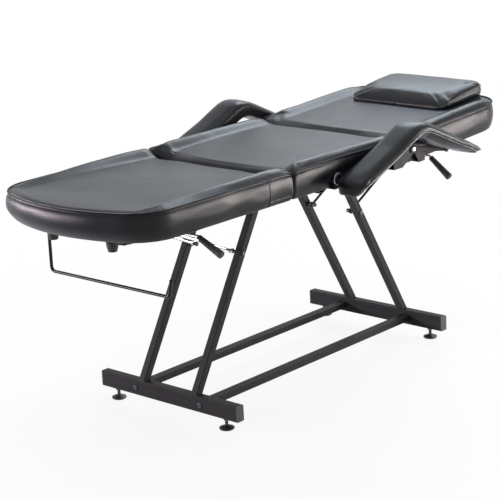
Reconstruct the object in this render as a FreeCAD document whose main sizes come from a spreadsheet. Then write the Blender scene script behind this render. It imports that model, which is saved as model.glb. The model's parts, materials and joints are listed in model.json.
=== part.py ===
import FreeCAD, Part
import math
import os
import re

import Sketcher

# Tattoo chair: a fixed welded base carries a seat, a folding leg section and a reclining back.
# X runs across the chair (the sitter's left is +X), Y towards the head end, Z up from the floor.
# Lengths are millimetres, angles degrees. Y values are counted from the middle of the base.

SIZES = {
    # clearances
    "base_offset": 25.0,
    "running_gap": 0.05,
    "face_gap": 0.3,
    "overrun": 5.0,
    # foot bars, end caps and levelling feet
    "bar_spacing": 1026.0,
    "bar_length": 575.0,
    "bar_width": 30.0,
    "bar_height": 50.0,
    "bar_clearance": 35.0,
    "bar_wall": 2.0,
    "bar_corner": 3.0,
    "cap_flange": 3.0,
    "cap_depth": 18.0,
    "cap_wall": 2.5,
    "foot_spacing": 460.0,
    "foot_radius": 23.0,
    "foot_height": 12.0,
    "foot_neck_radius": 9.0,
    "stem_radius": 5.0,
    "locknut_radius": 9.0,
    "locknut_height": 6.0,
    # floor rails
    "rail_spacing": 274.0,
    "rail_width": 30.0,
    "rail_height": 20.0,
    "rail_rise": 14.0,
    "rail_wall": 1.5,
    "rail_plate": 6.0,
    # bolts
    "bolt_radius": 4.0,
    "bolt_head_radius": 8.0,
    "bolt_head_height": 4.5,
    "socket_radius": 3.0,
    "socket_depth": 2.5,
    "sleeve_length": 12.0,
    "sleeve_radius": 5.5,
    "knob_radius": 6.5,
    "knob_length": 14.0,
    # legs
    "leg_spacing": 222.0,
    "leg_width": 25.0,
    "leg_wall": 2.0,
    "leg_corner": 2.5,
    "leg_lean": 30.0,
    "pivot_drop": 181.0,
    "upper_bolt_drop": 107.0,
    # seat frame
    "seat_tube": 25.0,
    "seat_wall": 2.0,
    "seat_front_tube": 228.0,
    "seat_rear_tube": 240.0,
    "seat_front_half_width": 180.0,
    "seat_side_half_width": 250.0,
    "lug_inset": 156.0,
    "lug_thickness": 6.0,
    "lug_radius": 9.5,
    # hinge between seat and leg section
    "leg_hinge_y": 253.0,
    "leg_hinge_drop": 10.0,
    # section frames
    "tube_size": 20.0,
    "tube_wall": 1.5,
    "frame_half_width": 180.0,
    "frame_rail_spacing": 246.0,
    "leg_frame_start": 30.0,
    "leg_slot_tube": 359.0,
    "holder_tube": 489.0,
    "leg_frame_end": 572.0,
    "bumper_place": 572.0,
    "bumper_radius": 17.5,
    "bumper_tip_radius": 13.0,
    "bumper_height": 27.0,
    "slot_plate_spacing": 120.0,
    "slot_plate_thickness": 5.0,
    "slot_edge": 9.0,
    "slot_clearance": 1.0,
    # boards
    "board_thickness": 12.0,
    "board_inset": 34.0,
    # cushions
    "cushion_width": 620.0,
    "cushion_floor": 655.0,
    "seam_height": 87.0,
    "bolster_height": 101.0,
    "middle_height": 85.0,
    "bolster_width": 74.0,
    "side_inset": 6.0,
    "seam_inset": 2.0,
    "cushion_gap": 1.5,
    "cushion_corner": 14.0,
    "end_inset": 33.0,
    "end_radius": 585.0,
    "end_corner": 132.0,
    "leg_cushion_length": 691.0,
    # back section
    "back_hinge_y": 324.0,
    "back_tilt": 3.0,
    "bullnose_radius": 46.0,
    "back_length": 571.0,
    "back_end_radius": 900.0,
    "back_end_corner": 120.0,
    "back_end_inset": 12.0,
    "back_rise": 60.0,
    "back_frame_start": 42.0,
    "back_slot_tube": 230.0,
    "back_middle_tube": 365.0,
    "back_frame_end": 500.0,
    # side plates
    "side_gap": 1.5,
    "plate_thickness": 3.0,
    "plate_gap": 0.5,
    "plate_width": 30.0,
    "flange_thickness": 4.0,
    "pivot_pin_radius": 5.0,
    "pivot_eye_radius": 14.0,
    "pivot_disc_radius": 19.0,
    "pin_head_radius": 8.0,
    "pin_head_height": 3.0,
    # struts and their crossbars
    "strut_rod_radius": 4.0,
    "strut_eye_radius": 9.0,
    "strut_eye_width": 6.0,
    "crossbar_radius": 7.0,
    "leg_bar_offset": 353.0,
    "leg_bar_drop": 37.0,
    "back_bar_offset": 232.0,
    "back_bar_drop": 35.0,
    "leg_fold_range": 42.0,
    "leg_strut_ratio": 1.3,
    "back_tilt_range": 75.0,
    "back_strut_ratio": 0.46,
    # clamp levers
    "lever_radius": 5.0,
    "lever_insert": 22.0,
    "lever_collar_radius": 10.0,
    "lever_collar_length": 8.0,
    "leg_lever_length": 244.0,
    "leg_lever_bend": 25.0,
    "back_lever_length": 210.0,
    "back_lever_bend": 38.0,
    "lever_bend_radius": 16.0,
    "lever_core": 70.0,
    "grip_length": 96.0,
    "grip_radius": 8.5,
    "grip_tip_radius": 12.0,
    "grip_groove": 1.0,
    # armrests
    "arm_pivot_y": 58.0,
    "arm_pivot_rise": 27.0,
    "arm_nose": 35.0,
    "arm_tail": 62.0,
    "arm_tip_drop": 3.0,
    "arm_rise": 137.5,
    "arm_width": 112.0,
    "arm_depth": 27.0,
    "arm_undercut": 20.0,
    "arm_shoulder": 16.0,
    "arm_shoulder_height": 19.0,
    "arm_crown": 5.0,
    "arm_ratio": 0.26,
    "guide_pin_offset": 174.0,
    "guide_pin_drop": 42.0,
    "guide_pin_radius": 4.0,
    "guide_slot_edge": 5.0,
    "arm_strip": 20.0,
    # head pillow
    "pillow_width": 404.0,
    "pillow_length": 246.0,
    "pillow_place": 320.0,
    "pillow_shift": 8.0,
    "pillow_front_height": 30.0,
    "pillow_rear_height": 54.0,
    "pillow_crown": 6.0,
    "pillow_belly": 5.0,
    "pillow_corner": 34.0,
    "pillow_inset": 9.0,
    # paper roll holder
    "holder_x": 238.0,
    "holder_rod_radius": 5.0,
    "holder_drop": 181.0,
    "holder_run": 491.0,
    "holder_tip": 52.0,
    "holder_lean": 11.0,
    "holder_bend": 14.0,
    "holder_head_radius": 7.0,
    "holder_head_height": 3.0,
    "socket_wall": 3.0,
    "socket_length": 15.0,
}

# Arm pad stations from the front tip to the rear tip: shares of its length, of its rise,
# of its thickness and of its width.
ARM_STATION_SHARES = [
    (0.000, 0.055, 0.35, 0.36),
    (0.012, 0.075, 0.58, 0.60),
    (0.032, 0.115, 0.85, 0.83),
    (0.060, 0.165, 0.97, 0.96),
    (0.100, 0.240, 1.00, 1.00),
    (0.160, 0.345, 1.00, 1.00),
    (0.220, 0.455, 1.00, 1.00),
    (0.308, 0.615, 1.00, 1.00),
    (0.398, 0.807, 1.00, 1.00),
    (0.460, 0.935, 1.00, 1.00),
    (0.505, 0.995, 1.00, 1.00),
    (0.550, 0.965, 1.00, 1.00),
    (0.624, 0.815, 1.00, 1.00),
    (0.705, 0.640, 1.00, 1.00),
    (0.788, 0.470, 1.00, 1.00),
    (0.872, 0.311, 1.00, 1.00),
    (0.931, 0.196, 0.97, 0.96),
    (0.968, 0.128, 0.85, 0.83),
    (0.988, 0.088, 0.58, 0.60),
    (1.000, 0.066, 0.35, 0.36),
]
# Steel strip let into the arm pad: shares of the pad's length and of its depth below its seam.
ARM_STRIP_SHARES = [(0.22, 0.50), (0.31, 0.55), (0.40, 0.60), (0.47, 0.60), (0.54, 0.60), (0.63, 0.55),
                    (0.71, 0.50)]
# Side band of a cushion: shares of its seam height, its side inset and its end inset.
BAND_SHARES = [(0.00, 1.50, 1.00), (0.20, 0.55, 0.50), (0.55, 0.00, 0.06), (1.00, 0.50, 0.30),
               (1.25, 1.50, 0.75)]
CREST_SHARE = 0.42
EYE_SIDE_SHARE = 0.6
EYE_RISE_SHARE = 0.8

X_AXIS = FreeCAD.Vector(1, 0, 0)
Y_AXIS = FreeCAD.Vector(0, 1, 0)
Z_AXIS = FreeCAD.Vector(0, 0, 1)
UPRIGHT = FreeCAD.Rotation()
ALONG_X = FreeCAD.Rotation(Y_AXIS, Z_AXIS, X_AXIS, "XYZ")
ALONG_Y = FreeCAD.Rotation(X_AXIS, -Z_AXIS, Y_AXIS, "XYZ")
SIDES = (("left", 1), ("right", -1))
SLOT_STEPS = 8
GRIP_GROOVES = 6

doc = FreeCAD.newDocument("TattooChair")
sheet = doc.addObject("Spreadsheet::Sheet", "Sizes")
for row, (alias, number) in enumerate(SIZES.items(), 1):
    sheet.set(f"A{row}", alias)
    sheet.set(f"B{row}", str(number))
    sheet.setAlias(f"B{row}", alias)
doc.recompute()
nodes = {}


class Size:
    """The sheet's cells as plain numbers."""


size = Size()
for alias in SIZES:
    setattr(size, alias, float(sheet.get(alias)))


def bind(thing, target, text):
    """Bind a property or a constraint to an expression of the sheet's cells."""
    linked = re.sub(r"[a-z_]{3,}", lambda word: f"Sizes.{word.group()}" if word.group() in SIZES
                    else word.group(), text)
    thing.setExpression(target, linked)


def keep(thing, name):
    """Register a finished sub-part under its node name."""
    thing.Label = name
    nodes[name] = thing
    return thing


def spot(x, y, z, turn=UPRIGHT, section=None):
    """A place in the chair's frame, or in the frame of a section that turns on its hinge."""
    if section is None:
        section = FreeCAD.Placement(FreeCAD.Vector(0, size.base_offset, 0), UPRIGHT)
    return section.multiply(FreeCAD.Placement(FreeCAD.Vector(x, y, z), turn))


def put(thing, x, y, z, turn=UPRIGHT, section=None):
    thing.Placement = spot(x, y, z, turn, section)
    return thing


# Sketches and features


def new_sketch(body, role):
    plane = [face for face in body.Origin.OriginFeatures if face.Role == role][0]
    sketch = body.newObject("Sketcher::SketchObject", "Profile")
    sketch.AttachmentSupport = (plane, [""])
    sketch.MapMode = "FlatFace"
    return sketch


def pin_point(sketch, line, texts):
    """Hold the start of a line at two expressions, counted from the sketch's origin."""
    for kind, text in zip(("DistanceX", "DistanceY"), texts):
        held = sketch.addConstraint(Sketcher.Constraint(kind, -1, 1, line, 1, float(line)))
        bind(sketch, f"Constraints[{held}]", text)


def polygon(sketch, corners):
    """A closed outline whose corners are pairs of expressions."""
    first = sketch.GeometryCount
    count = len(corners)
    turn = 2 * math.pi / count
    spots = [FreeCAD.Vector(math.cos(turn * step), math.sin(turn * step), 0) for step in range(count)]
    for step in range(count):
        sketch.addGeometry(Part.LineSegment(spots[step], spots[(step + 1) % count]))
    for step in range(count):
        following = first + (step + 1) % count
        sketch.addConstraint(Sketcher.Constraint("Coincident", first + step, 2, following, 1))
    for step in range(count):
        pin_point(sketch, first + step, corners[step])


def rectangle(sketch, width, height):
    """A rectangle centred on the sketch's origin."""
    half = (f"({width}) / 2", f"({height}) / 2")
    polygon(sketch, [(f"-{half[0]}", f"-{half[1]}"), (half[0], f"-{half[1]}"), half,
                     (f"-{half[0]}", half[1])])


def circle(sketch, across, up, radius):
    ring = sketch.addGeometry(Part.Circle(FreeCAD.Vector(0, 0, 0), Z_AXIS, 1.0))
    for kind, text in zip(("DistanceX", "DistanceY"), (across, up)):
        held = sketch.addConstraint(Sketcher.Constraint(kind, -1, 1, ring, 3, float(ring)))
        bind(sketch, f"Constraints[{held}]", text)
    held = sketch.addConstraint(Sketcher.Constraint("Radius", ring, 1.0))
    bind(sketch, f"Constraints[{held}]", radius)


def pad(body, sketch, length):
    """Thicken a sketch evenly to both sides of its plane."""
    feature = body.newObject("PartDesign::Pad", "Pad")
    feature.Profile = sketch
    feature.SideType = "Symmetric"
    bind(feature, "Length", length)
    return feature


def pocket(body, sketch, length):
    """Cut a sketch evenly to both sides of its plane."""
    feature = body.newObject("PartDesign::Pocket", "Pocket")
    feature.Profile = sketch
    feature.SideType = "Symmetric"
    bind(feature, "Length", length)
    doc.recompute()
    if not feature.Shape.Volume < feature.BaseFeature.Shape.Volume:
        raise RuntimeError(f"{body.Label}: a pocket cuts nothing")
    return feature


def round_edges(body, feature, radius, chosen):
    doc.recompute()
    names = [f"Edge{n}" for n, edge in enumerate(feature.Shape.Edges, 1) if chosen(edge)]
    fillet = body.newObject("PartDesign::Fillet", "Rounded")
    fillet.Base = (feature, names)
    bind(fillet, "Radius", radius)
    return fillet


def outer_corner(width, height):
    """Choose the four long outer edges of a tube that runs along its local Z."""
    def chosen(edge):
        middle = edge.CenterOfMass
        spot = (abs(middle.x) - width / 2, abs(middle.y) - height / 2)
        return edge.BoundBox.ZLength > width and max(map(abs, spot)) < size.running_gap
    return chosen


def tube(width, height, length, wall, corner=None):
    """A square or flat tube along its local Z, centred on its origin."""
    body = doc.addObject("PartDesign::Body", "Tube")
    sketch = new_sketch(body, "XY_Plane")
    rectangle(sketch, width, height)
    rectangle(sketch, f"{width} - 2 * {wall}", f"{height} - 2 * {wall}")
    feature = pad(body, sketch, length)
    if corner:
        round_edges(body, feature, corner, outer_corner(getattr(size, width), getattr(size, height)))
    return body


def plate(outline, thickness, discs=(), holes=()):
    """A flat plate in the YZ plane: a polygon, round eyes joined to it, and round holes."""
    body = doc.addObject("PartDesign::Body", "Plate")
    if outline:
        sketch = new_sketch(body, "YZ_Plane")
        polygon(sketch, outline)
        pad(body, sketch, thickness)
    for disc in discs:
        sketch = new_sketch(body, "YZ_Plane")
        circle(sketch, *disc)
        pad(body, sketch, thickness)
    for hole in holes:
        sketch = new_sketch(body, "YZ_Plane")
        circle(sketch, *hole)
        pocket(body, sketch, f"{thickness} + overrun")
    return body


def turned(profile):
    """A piece turned about its local Z from corners given as radius and height."""
    body = doc.addObject("PartDesign::Body", "Turned")
    sketch = new_sketch(body, "XZ_Plane")
    polygon(sketch, profile)
    feature = body.newObject("PartDesign::Revolution", "Revolution")
    feature.Profile = sketch
    feature.ReferenceAxis = (sketch, ["V_Axis"])
    feature.Angle = 360.0
    return body


def cylinder(radius, length, x, y, z, turn=ALONG_X):
    solid = doc.addObject("Part::Cylinder", "Cylinder")
    bind(solid, "Radius", radius)
    bind(solid, "Height", length)
    return put(solid, x, y, z, turn)


def block(length, width, height):
    solid = doc.addObject("Part::Box", "Block")
    for target, text in zip(("Length", "Width", "Height"), (length, width, height)):
        bind(solid, target, text)
    return solid


def weld(name, pieces):
    """Join pieces into one sub-part."""
    joined = doc.addObject("Part::MultiFuse", "Welded")
    joined.Shapes = pieces
    joined.Refine = True
    return keep(joined, name)


def cut(base, tool):
    trimmed = doc.addObject("Part::Cut", "Trimmed")
    trimmed.Base = base
    trimmed.Tool = tool
    return trimmed


def formed(shape):
    """A piece whose shape is worked out from the sheet's sizes."""
    piece = doc.addObject("Part::Feature", "Formed")
    piece.Shape = shape
    return piece


def group(name, pattern, places):
    """One node of identical separate pieces, each at its own placement."""
    doc.recompute()
    copies = []
    for place in places:
        copy = pattern.Shape.copy()
        copy.Placement = place.multiply(pattern.Shape.Placement)
        copies.append(copy)
    return keep(formed(Part.makeCompound(copies)), name)


# Places worked out from the sizes


def pivot_place(way):
    height = size.cushion_floor - size.pivot_drop
    return (way * leg_place(height), height)


def leg_hinge():
    return (-size.leg_hinge_y, size.cushion_floor - size.leg_hinge_drop)


def back_hinge():
    return (size.back_hinge_y, size.cushion_floor + size.bullnose_radius)


def arm_pivot():
    return (-size.arm_pivot_y, size.cushion_floor + size.arm_pivot_rise)


# Points and outlines in a plane


def turn_point(point, degrees):
    angle = math.radians(degrees)
    across, up = point
    return (across * math.cos(angle) - up * math.sin(angle), across * math.sin(angle) + up * math.cos(angle))


def arc(first, middle, last):
    return Part.Arc(first, middle, last).toShape()


def line(first, last):
    return Part.LineSegment(first, last).toShape()


def seen_path(point, centre, share, viewer, viewer_share, travel, tilt=0.0):
    """The path of a point that turns on one centre, seen from a piece that turns on another."""
    path = []
    for step in range(SLOT_STEPS + 1):
        turned_by = travel * step / SLOT_STEPS
        arm = turn_point((point[0] - centre[0], point[1] - centre[1]), share * turned_by)
        reach = (centre[0] + arm[0] - viewer[0], centre[1] + arm[1] - viewer[1])
        path.append(turn_point(reach, -viewer_share * turned_by - tilt))
    return path


def band(path, half_width):
    """The outline of a band of even width around a path in the YZ plane, with round ends."""
    last = len(path) - 1
    sides = ([], [])
    tips = []
    for step, (across, up) in enumerate(path):
        before = path[max(step - 1, 0)]
        after = path[min(step + 1, last)]
        along = FreeCAD.Vector(0, after[0] - before[0], after[1] - before[1]).normalize()
        here = FreeCAD.Vector(0, across, up)
        sides[0].append(here + X_AXIS.cross(along) * half_width)
        sides[1].append(here - X_AXIS.cross(along) * half_width)
        if step in (0, last):
            tips.append(here + along * (half_width if step else -half_width))
    curves = []
    for points in sides:
        curve = Part.BSplineCurve()
        curve.interpolate(points)
        curves.append(curve.toShape())
    start = arc(sides[1][0], tips[0], sides[0][0])
    end = arc(sides[0][-1], tips[1], sides[1][-1])
    return Part.Wire([curves[0], end, curves[1], start])


def thick(wire, thickness, start=0.0):
    """A plate of a YZ outline, from start along X."""
    face = Part.Face(wire)
    face.translate(X_AXIS * start)
    return face.extrude(X_AXIS * thickness)


def bent_rod(points, radius, bend):
    """A round rod: straight runs joined by bends of one radius."""
    pieces = []
    start = points[0]
    for before, corner, after in zip(points, points[1:], points[2:]):
        into = (corner - before).normalize()
        out = (after - corner).normalize()
        angle = into.getAngle(out)
        knee = corner - into * bend * math.tan(angle / 2)
        axis = into.cross(out).normalize()
        pieces.append(Part.makeCylinder(radius, (knee - start).Length, start, into))
        disc = Part.Face(Part.Wire(Part.makeCircle(radius, knee, into)))
        centre = knee + axis.cross(into) * bend
        pieces.append(disc.revolve(centre, axis, math.degrees(angle)))
        start = corner + out * bend * math.tan(angle / 2)
    last = points[-1] - start
    pieces.append(Part.makeCylinder(radius, last.Length, start, last))
    return pieces[0].fuse(pieces[1:]).removeSplitter()


def end_outline(half, start, end, end_radius, corner, height):
    """A cushion's outline seen from above: square at its start, rounded at its far end."""
    big = FreeCAD.Vector(0, end - end_radius, height)
    reach = math.sqrt((end_radius - corner) ** 2 - (half - corner) ** 2)
    edges = [line(FreeCAD.Vector(-half, start, height), FreeCAD.Vector(half, start, height))]
    knees = {}
    for side in (1, -1):
        small = FreeCAD.Vector(side * (half - corner), big.y + reach, height)
        beside = FreeCAD.Vector(side * half, small.y, height)
        outward = (small - big).normalize()
        tip = big + outward * end_radius
        middle = small + (outward + X_AXIS * side).normalize() * corner
        knees[side] = (beside, middle, tip)
    right, left = knees[1], knees[-1]
    edges.append(line(FreeCAD.Vector(half, start, height), right[0]))
    edges.append(arc(*right))
    edges.append(arc(right[2], FreeCAD.Vector(0, end, height), left[2]))
    edges.append(arc(left[2], left[1], left[0]))
    edges.append(line(left[0], FreeCAD.Vector(-half, start, height)))
    return Part.Wire(edges)


def box_outline(half, start, end, corner, height):
    """A rectangle with four round corners, seen from above."""
    edges = []
    ring = [(1, 1, start), (1, -1, end), (-1, -1, end), (-1, 1, start)]
    arcs = []
    for side, inward, edge in ring:
        centre = FreeCAD.Vector(side * (half - corner), edge + inward * corner, height)
        flat = centre + X_AXIS * side * corner
        tip = centre - Y_AXIS * inward * corner
        middle = centre + (X_AXIS * side - Y_AXIS * inward).normalize() * corner
        arcs.append((tip, middle, flat) if side * inward > 0 else (flat, middle, tip))
    for here, following in zip(arcs, arcs[1:] + arcs[:1]):
        edges += [arc(*here), line(here[2], following[0])]
    return Part.Wire(edges)


# Cushions


def crown(start, end, floor):
    """Everything under a cushion's top: a flat middle between two rounded bolsters."""
    half = size.cushion_width / 2
    seam = half - size.seam_inset

    def point(x, height):
        return FreeCAD.Vector(x, start, floor + height)
    wide = half + size.overrun
    inner = half - size.bolster_width
    crest = half - size.bolster_width * CREST_SHARE
    edges = [line(point(-wide, -size.overrun), point(wide, -size.overrun))]
    for side in (1, -1):
        rim = point(side * wide, size.seam_height)
        edges.append(line(point(side * wide, -size.overrun), rim))
        edges.append(line(rim, point(side * seam, size.seam_height)))
        edges.append(arc(point(side * seam, size.seam_height), point(side * crest, size.bolster_height),
                         point(side * inner, size.middle_height)))
    edges.append(line(point(inner, size.middle_height), point(-inner, size.middle_height)))
    return Part.Face(Part.Wire(Part.__sortEdges__(edges))).extrude(Y_AXIS * (end - start))


def padded(outline, start, end, floor, start_inset, end_inset, spare):
    """A cushion body: a band drawn in at floor and seam, under its crown and clipped at flat ends."""
    levels = []
    for rise, side_share, end_share in BAND_SHARES:
        half = size.cushion_width / 2 - size.side_inset * side_share
        top = start_inset if rise > 1 else 0.0
        levels.append(outline(half, start + top, end - end_inset * end_share,
                              floor + rise * size.seam_height))
    body = Part.makeLoft(levels, True, False)
    return body.common(crown(start, end + spare, floor))


def leg_outline(half, start, end, height):
    return end_outline(half, start, end, size.end_radius, size.end_corner, height)


def head_outline(half, start, end, height):
    return end_outline(half, start, end, size.back_end_radius, size.back_end_corner, height)


def seat_outline(half, start, end, height):
    return box_outline(half, start, end, size.cushion_corner, height)


def board_shape(outline, start, end, end_inset, floor, margin=0.0):
    """The plywood board let into a cushion's underside; a margin makes its recess."""
    half = size.cushion_width / 2 - size.side_inset - size.board_inset + margin
    wire = outline(half, start + size.board_inset - margin, end - end_inset - size.board_inset + margin,
                   floor)
    return Part.Face(wire).extrude(Z_AXIS * size.board_thickness)


def cushion_and_board(name, outline, start, end, start_inset, end_inset, floor, front, section):
    spare = 0.0 if start_inset == end_inset else size.overrun
    cushion = padded(outline, start, end, floor, start_inset, end_inset, spare)
    if front:
        cushion = cushion.common(front)
        start = 0.0
    recess = board_shape(outline, start, end, end_inset, floor, size.face_gap)
    board = board_shape(outline, start, end, end_inset, floor)
    keep(put(formed(cushion.cut(recess)), 0, 0, 0, section=section), f"{name}_cushion")
    keep(put(formed(board), 0, 0, 0, section=section), f"{name}_board")


def bullnose(length):
    """The side outline of the back cushion: its front edge is round about the hinge axis."""
    radius = size.bullnose_radius
    crest = size.bolster_height - radius + 2 * size.running_gap
    low = -radius - size.overrun
    high = crest + size.overrun
    far = length + 2 * size.overrun

    def point(y, z):
        return FreeCAD.Vector(0, y, z)
    corners = [point(0, radius), point(size.back_rise, crest), point(size.back_rise, high), point(far, high),
               point(far, low), point(0, low), point(0, -radius)]
    edges = [line(a, b) for a, b in zip(corners, corners[1:])]
    edges.append(arc(point(0, -radius), point(-radius, 0), point(0, radius)))
    wide = size.cushion_width + 2 * size.overrun
    return thick(Part.Wire(edges), wide, -wide / 2)


def make_cushions():
    gap = size.cushion_gap
    leg_floor = size.leg_hinge_drop
    cushion_and_board("leg", leg_outline, gap / 2, size.leg_cushion_length, size.side_inset, size.end_inset,
                      leg_floor, None, LEG_SECTION)
    seat_end = size.back_hinge_y - size.bullnose_radius - gap
    seat_section = spot(0, 0, size.cushion_floor)
    cushion_and_board("seat", seat_outline, gap / 2 - size.leg_hinge_y, seat_end, size.side_inset,
                      size.side_inset,
                      0.0, None, seat_section)
    cushion_and_board("back", head_outline, -size.bullnose_radius - gap, size.back_length, 0.0,
                      size.back_end_inset, -size.bullnose_radius, bullnose(size.back_length), BACK_SECTION)


def make_pillow():
    """The head pillow: a wedge that lies on the flat middle of the back cushion."""
    floor = size.middle_height - size.bullnose_radius + size.face_gap
    start = size.pillow_place
    end = start + size.pillow_length
    low, high = size.pillow_front_height, size.pillow_rear_height

    def point(y, z):
        return FreeCAD.Vector(0, y, floor + z)
    corners = [point(start, 0), point(end, 0), point(end, high), point(start, low)]
    rear = arc(corners[1], point(end + size.pillow_belly, high / 2), corners[2])
    top = arc(corners[2], point((start + end) / 2, (low + high) / 2 + size.pillow_crown), corners[3])
    front = arc(corners[3], point(start - size.pillow_belly, low / 2), corners[0])
    side = Part.Wire([line(corners[0], corners[1]), rear, top, front])
    wide = size.pillow_width + 2 * size.overrun
    wedge = thick(side, wide, -wide / 2)
    levels = []
    for rise, inset in ((0.0, size.pillow_inset), (0.5, 0.0), (1.2, size.pillow_inset)):
        spare = size.pillow_belly - inset
        levels.append(box_outline(size.pillow_width / 2 - inset, start - spare, end + spare,
                                  size.pillow_corner,
                                  floor + rise * high))
    pillow = Part.makeLoft(levels, True, False).common(wedge)
    keep(put(formed(pillow), size.pillow_shift, 0, 0, section=BACK_SECTION), "head_pillow")


# Base: foot bars, rails, legs


def drilled(base, holes):
    tools = doc.addObject("Part::MultiFuse", "Holes")
    tools.Shapes = holes
    return cut(base, tools)


def solid_bar(width, height, length, corner):
    body = doc.addObject("PartDesign::Body", "Bar")
    sketch = new_sketch(body, "XY_Plane")
    rectangle(sketch, width, height)
    feature = pad(body, sketch, length)
    doc.recompute()
    edges = [f"Edge{n}" for n, edge in enumerate(feature.Shape.Edges, 1)
             if abs(edge.tangentAt(edge.FirstParameter).z) > 0.5]
    fillet = body.newObject("PartDesign::Fillet", "Rounded")
    fillet.Base = (feature, edges)
    bind(fillet, "Radius", corner)
    return body


def make_foot_bars():
    middle = size.bar_clearance + size.bar_height / 2
    rail_middle = size.bar_clearance + size.rail_rise + size.rail_height / 2
    for name, way in (("front_foot_bar", -1), ("rear_foot_bar", 1)):
        bar = tube("bar_width", "bar_height", "bar_length - 2 * cap_flange", "bar_wall", "bar_corner")
        put(bar, 0, way * size.bar_spacing / 2, middle, ALONG_X)
        holes = []
        for _, side in SIDES:
            holes.append(cylinder("stem_radius + running_gap", "bar_wall + 2 * overrun",
                                  side * size.foot_spacing / 2,
                                  way * size.bar_spacing / 2, size.bar_clearance - size.overrun, UPRIGHT))
            holes.append(cylinder("bolt_radius + running_gap", "bar_width + 2 * overrun",
                                  side * size.rail_spacing / 2,
                                  way * size.bar_spacing / 2 - size.bar_width / 2 - size.overrun,
                                  rail_middle, ALONG_Y))
        keep(drilled(bar, holes), name)


def make_end_caps():
    """Plastic caps: a flange over the tube's end and a hollow plug inside it."""
    flange = solid_bar("bar_width", "bar_height", "cap_flange", "bar_corner")
    plug = tube("(bar_width - 2 * bar_wall - face_gap)", "(bar_height - 2 * bar_wall - face_gap)",
                "cap_depth",
                "cap_wall")
    plug.Placement = FreeCAD.Placement(Z_AXIS * (-(size.cap_flange + size.cap_depth) / 2), UPRIGHT)
    cap = doc.addObject("Part::MultiFuse", "Cap")
    cap.Shapes = [flange, plug]
    places = []
    for way in (-1, 1):
        for _, side in SIDES:
            facing = ALONG_X if side > 0 else ALONG_X.multiply(FreeCAD.Rotation(X_AXIS, 180))
            places.append(spot(side * (size.bar_length - size.cap_flange) / 2, way * size.bar_spacing / 2,
                               size.bar_clearance + size.bar_height / 2, facing))
    group("bar_end_caps", cap, places)


def make_levelling_feet():
    rim = "foot_height / 2"
    edge = "socket_depth"
    stem_top = "bar_clearance + bar_wall + foot_height"
    profile = [("0", "0"), (f"foot_radius - {edge}", "0"), ("foot_radius", edge), ("foot_radius", rim),
               ("foot_neck_radius", "foot_height"), ("stem_radius", "foot_height"),
               ("stem_radius", stem_top),
               ("0", stem_top)]
    nut = turned([("stem_radius + running_gap", "0"), ("locknut_radius", "0"),
                  ("locknut_radius", "locknut_height"), ("stem_radius + running_gap", "locknut_height")])
    places = []
    for front, way in (("front", -1), ("rear", 1)):
        for left, side in SIDES:
            foot = turned(profile)
            here = (side * size.foot_spacing / 2, way * size.bar_spacing / 2)
            keep(put(foot, *here, 0), f"{front}_{left}_levelling_foot")
            places.append(spot(*here, size.bar_clearance - size.locknut_height))
    group("foot_locknuts", nut, places)


def bolt_profile(length):
    """A round socket head above its seat at height zero, and a shank below it."""
    return [("0", f"-({length})"), ("bolt_radius", f"-({length})"), ("bolt_radius", "0"),
            ("bolt_head_radius", "0"),
            ("bolt_head_radius", "bolt_head_height / 2"), ("bolt_head_radius * 0.7", "bolt_head_height"),
            ("socket_radius", "bolt_head_height"), ("socket_radius", "bolt_head_height - socket_depth"),
            ("0", "bolt_head_height - socket_depth")]


def make_rails():
    middle = size.bar_clearance + size.rail_rise + size.rail_height / 2
    reach = size.bar_spacing / 2 - size.bar_width / 2
    for left, side in SIDES:
        rail = tube("rail_width", "rail_height", "bar_spacing - bar_width", "rail_wall")
        put(rail, side * size.rail_spacing / 2, 0, middle, ALONG_Y)
        pieces = [rail]
        holes = []
        for way in (-1, 1):
            plug = solid_bar("rail_width - rail_wall", "rail_height - rail_wall", "rail_plate",
                             "rail_wall / 2")
            put(plug, side * size.rail_spacing / 2, way * (reach - size.rail_plate / 2), middle, ALONG_Y)
            pieces.append(plug)
            holes.append(cylinder("bolt_radius + running_gap", "rail_plate + 2 * overrun",
                                  side * size.rail_spacing / 2,
                                  way * (reach - size.rail_plate / 2) - size.rail_plate / 2 - size.overrun,
                                  middle, ALONG_Y))
        joined = doc.addObject("Part::MultiFuse", "Rail")
        joined.Shapes = pieces
        keep(drilled(joined, holes), f"{left}_floor_rail")
    bolt = turned(bolt_profile("bar_width + rail_plate"))
    places = []
    for way in (-1, 1):
        outward = FreeCAD.Rotation(Z_AXIS, Y_AXIS * way)
        for _, side in SIDES:
            places.append(spot(side * size.rail_spacing / 2, way * (reach + size.bar_width), middle,
                               outward))
    group("rail_bolts", bolt, places)


def leg_place(height):
    """How far out from the middle a leg's axis lies at a height."""
    rise = height - size.bar_clearance - size.bar_height
    return size.bar_spacing / 2 - rise * math.tan(math.radians(size.leg_lean))


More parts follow.
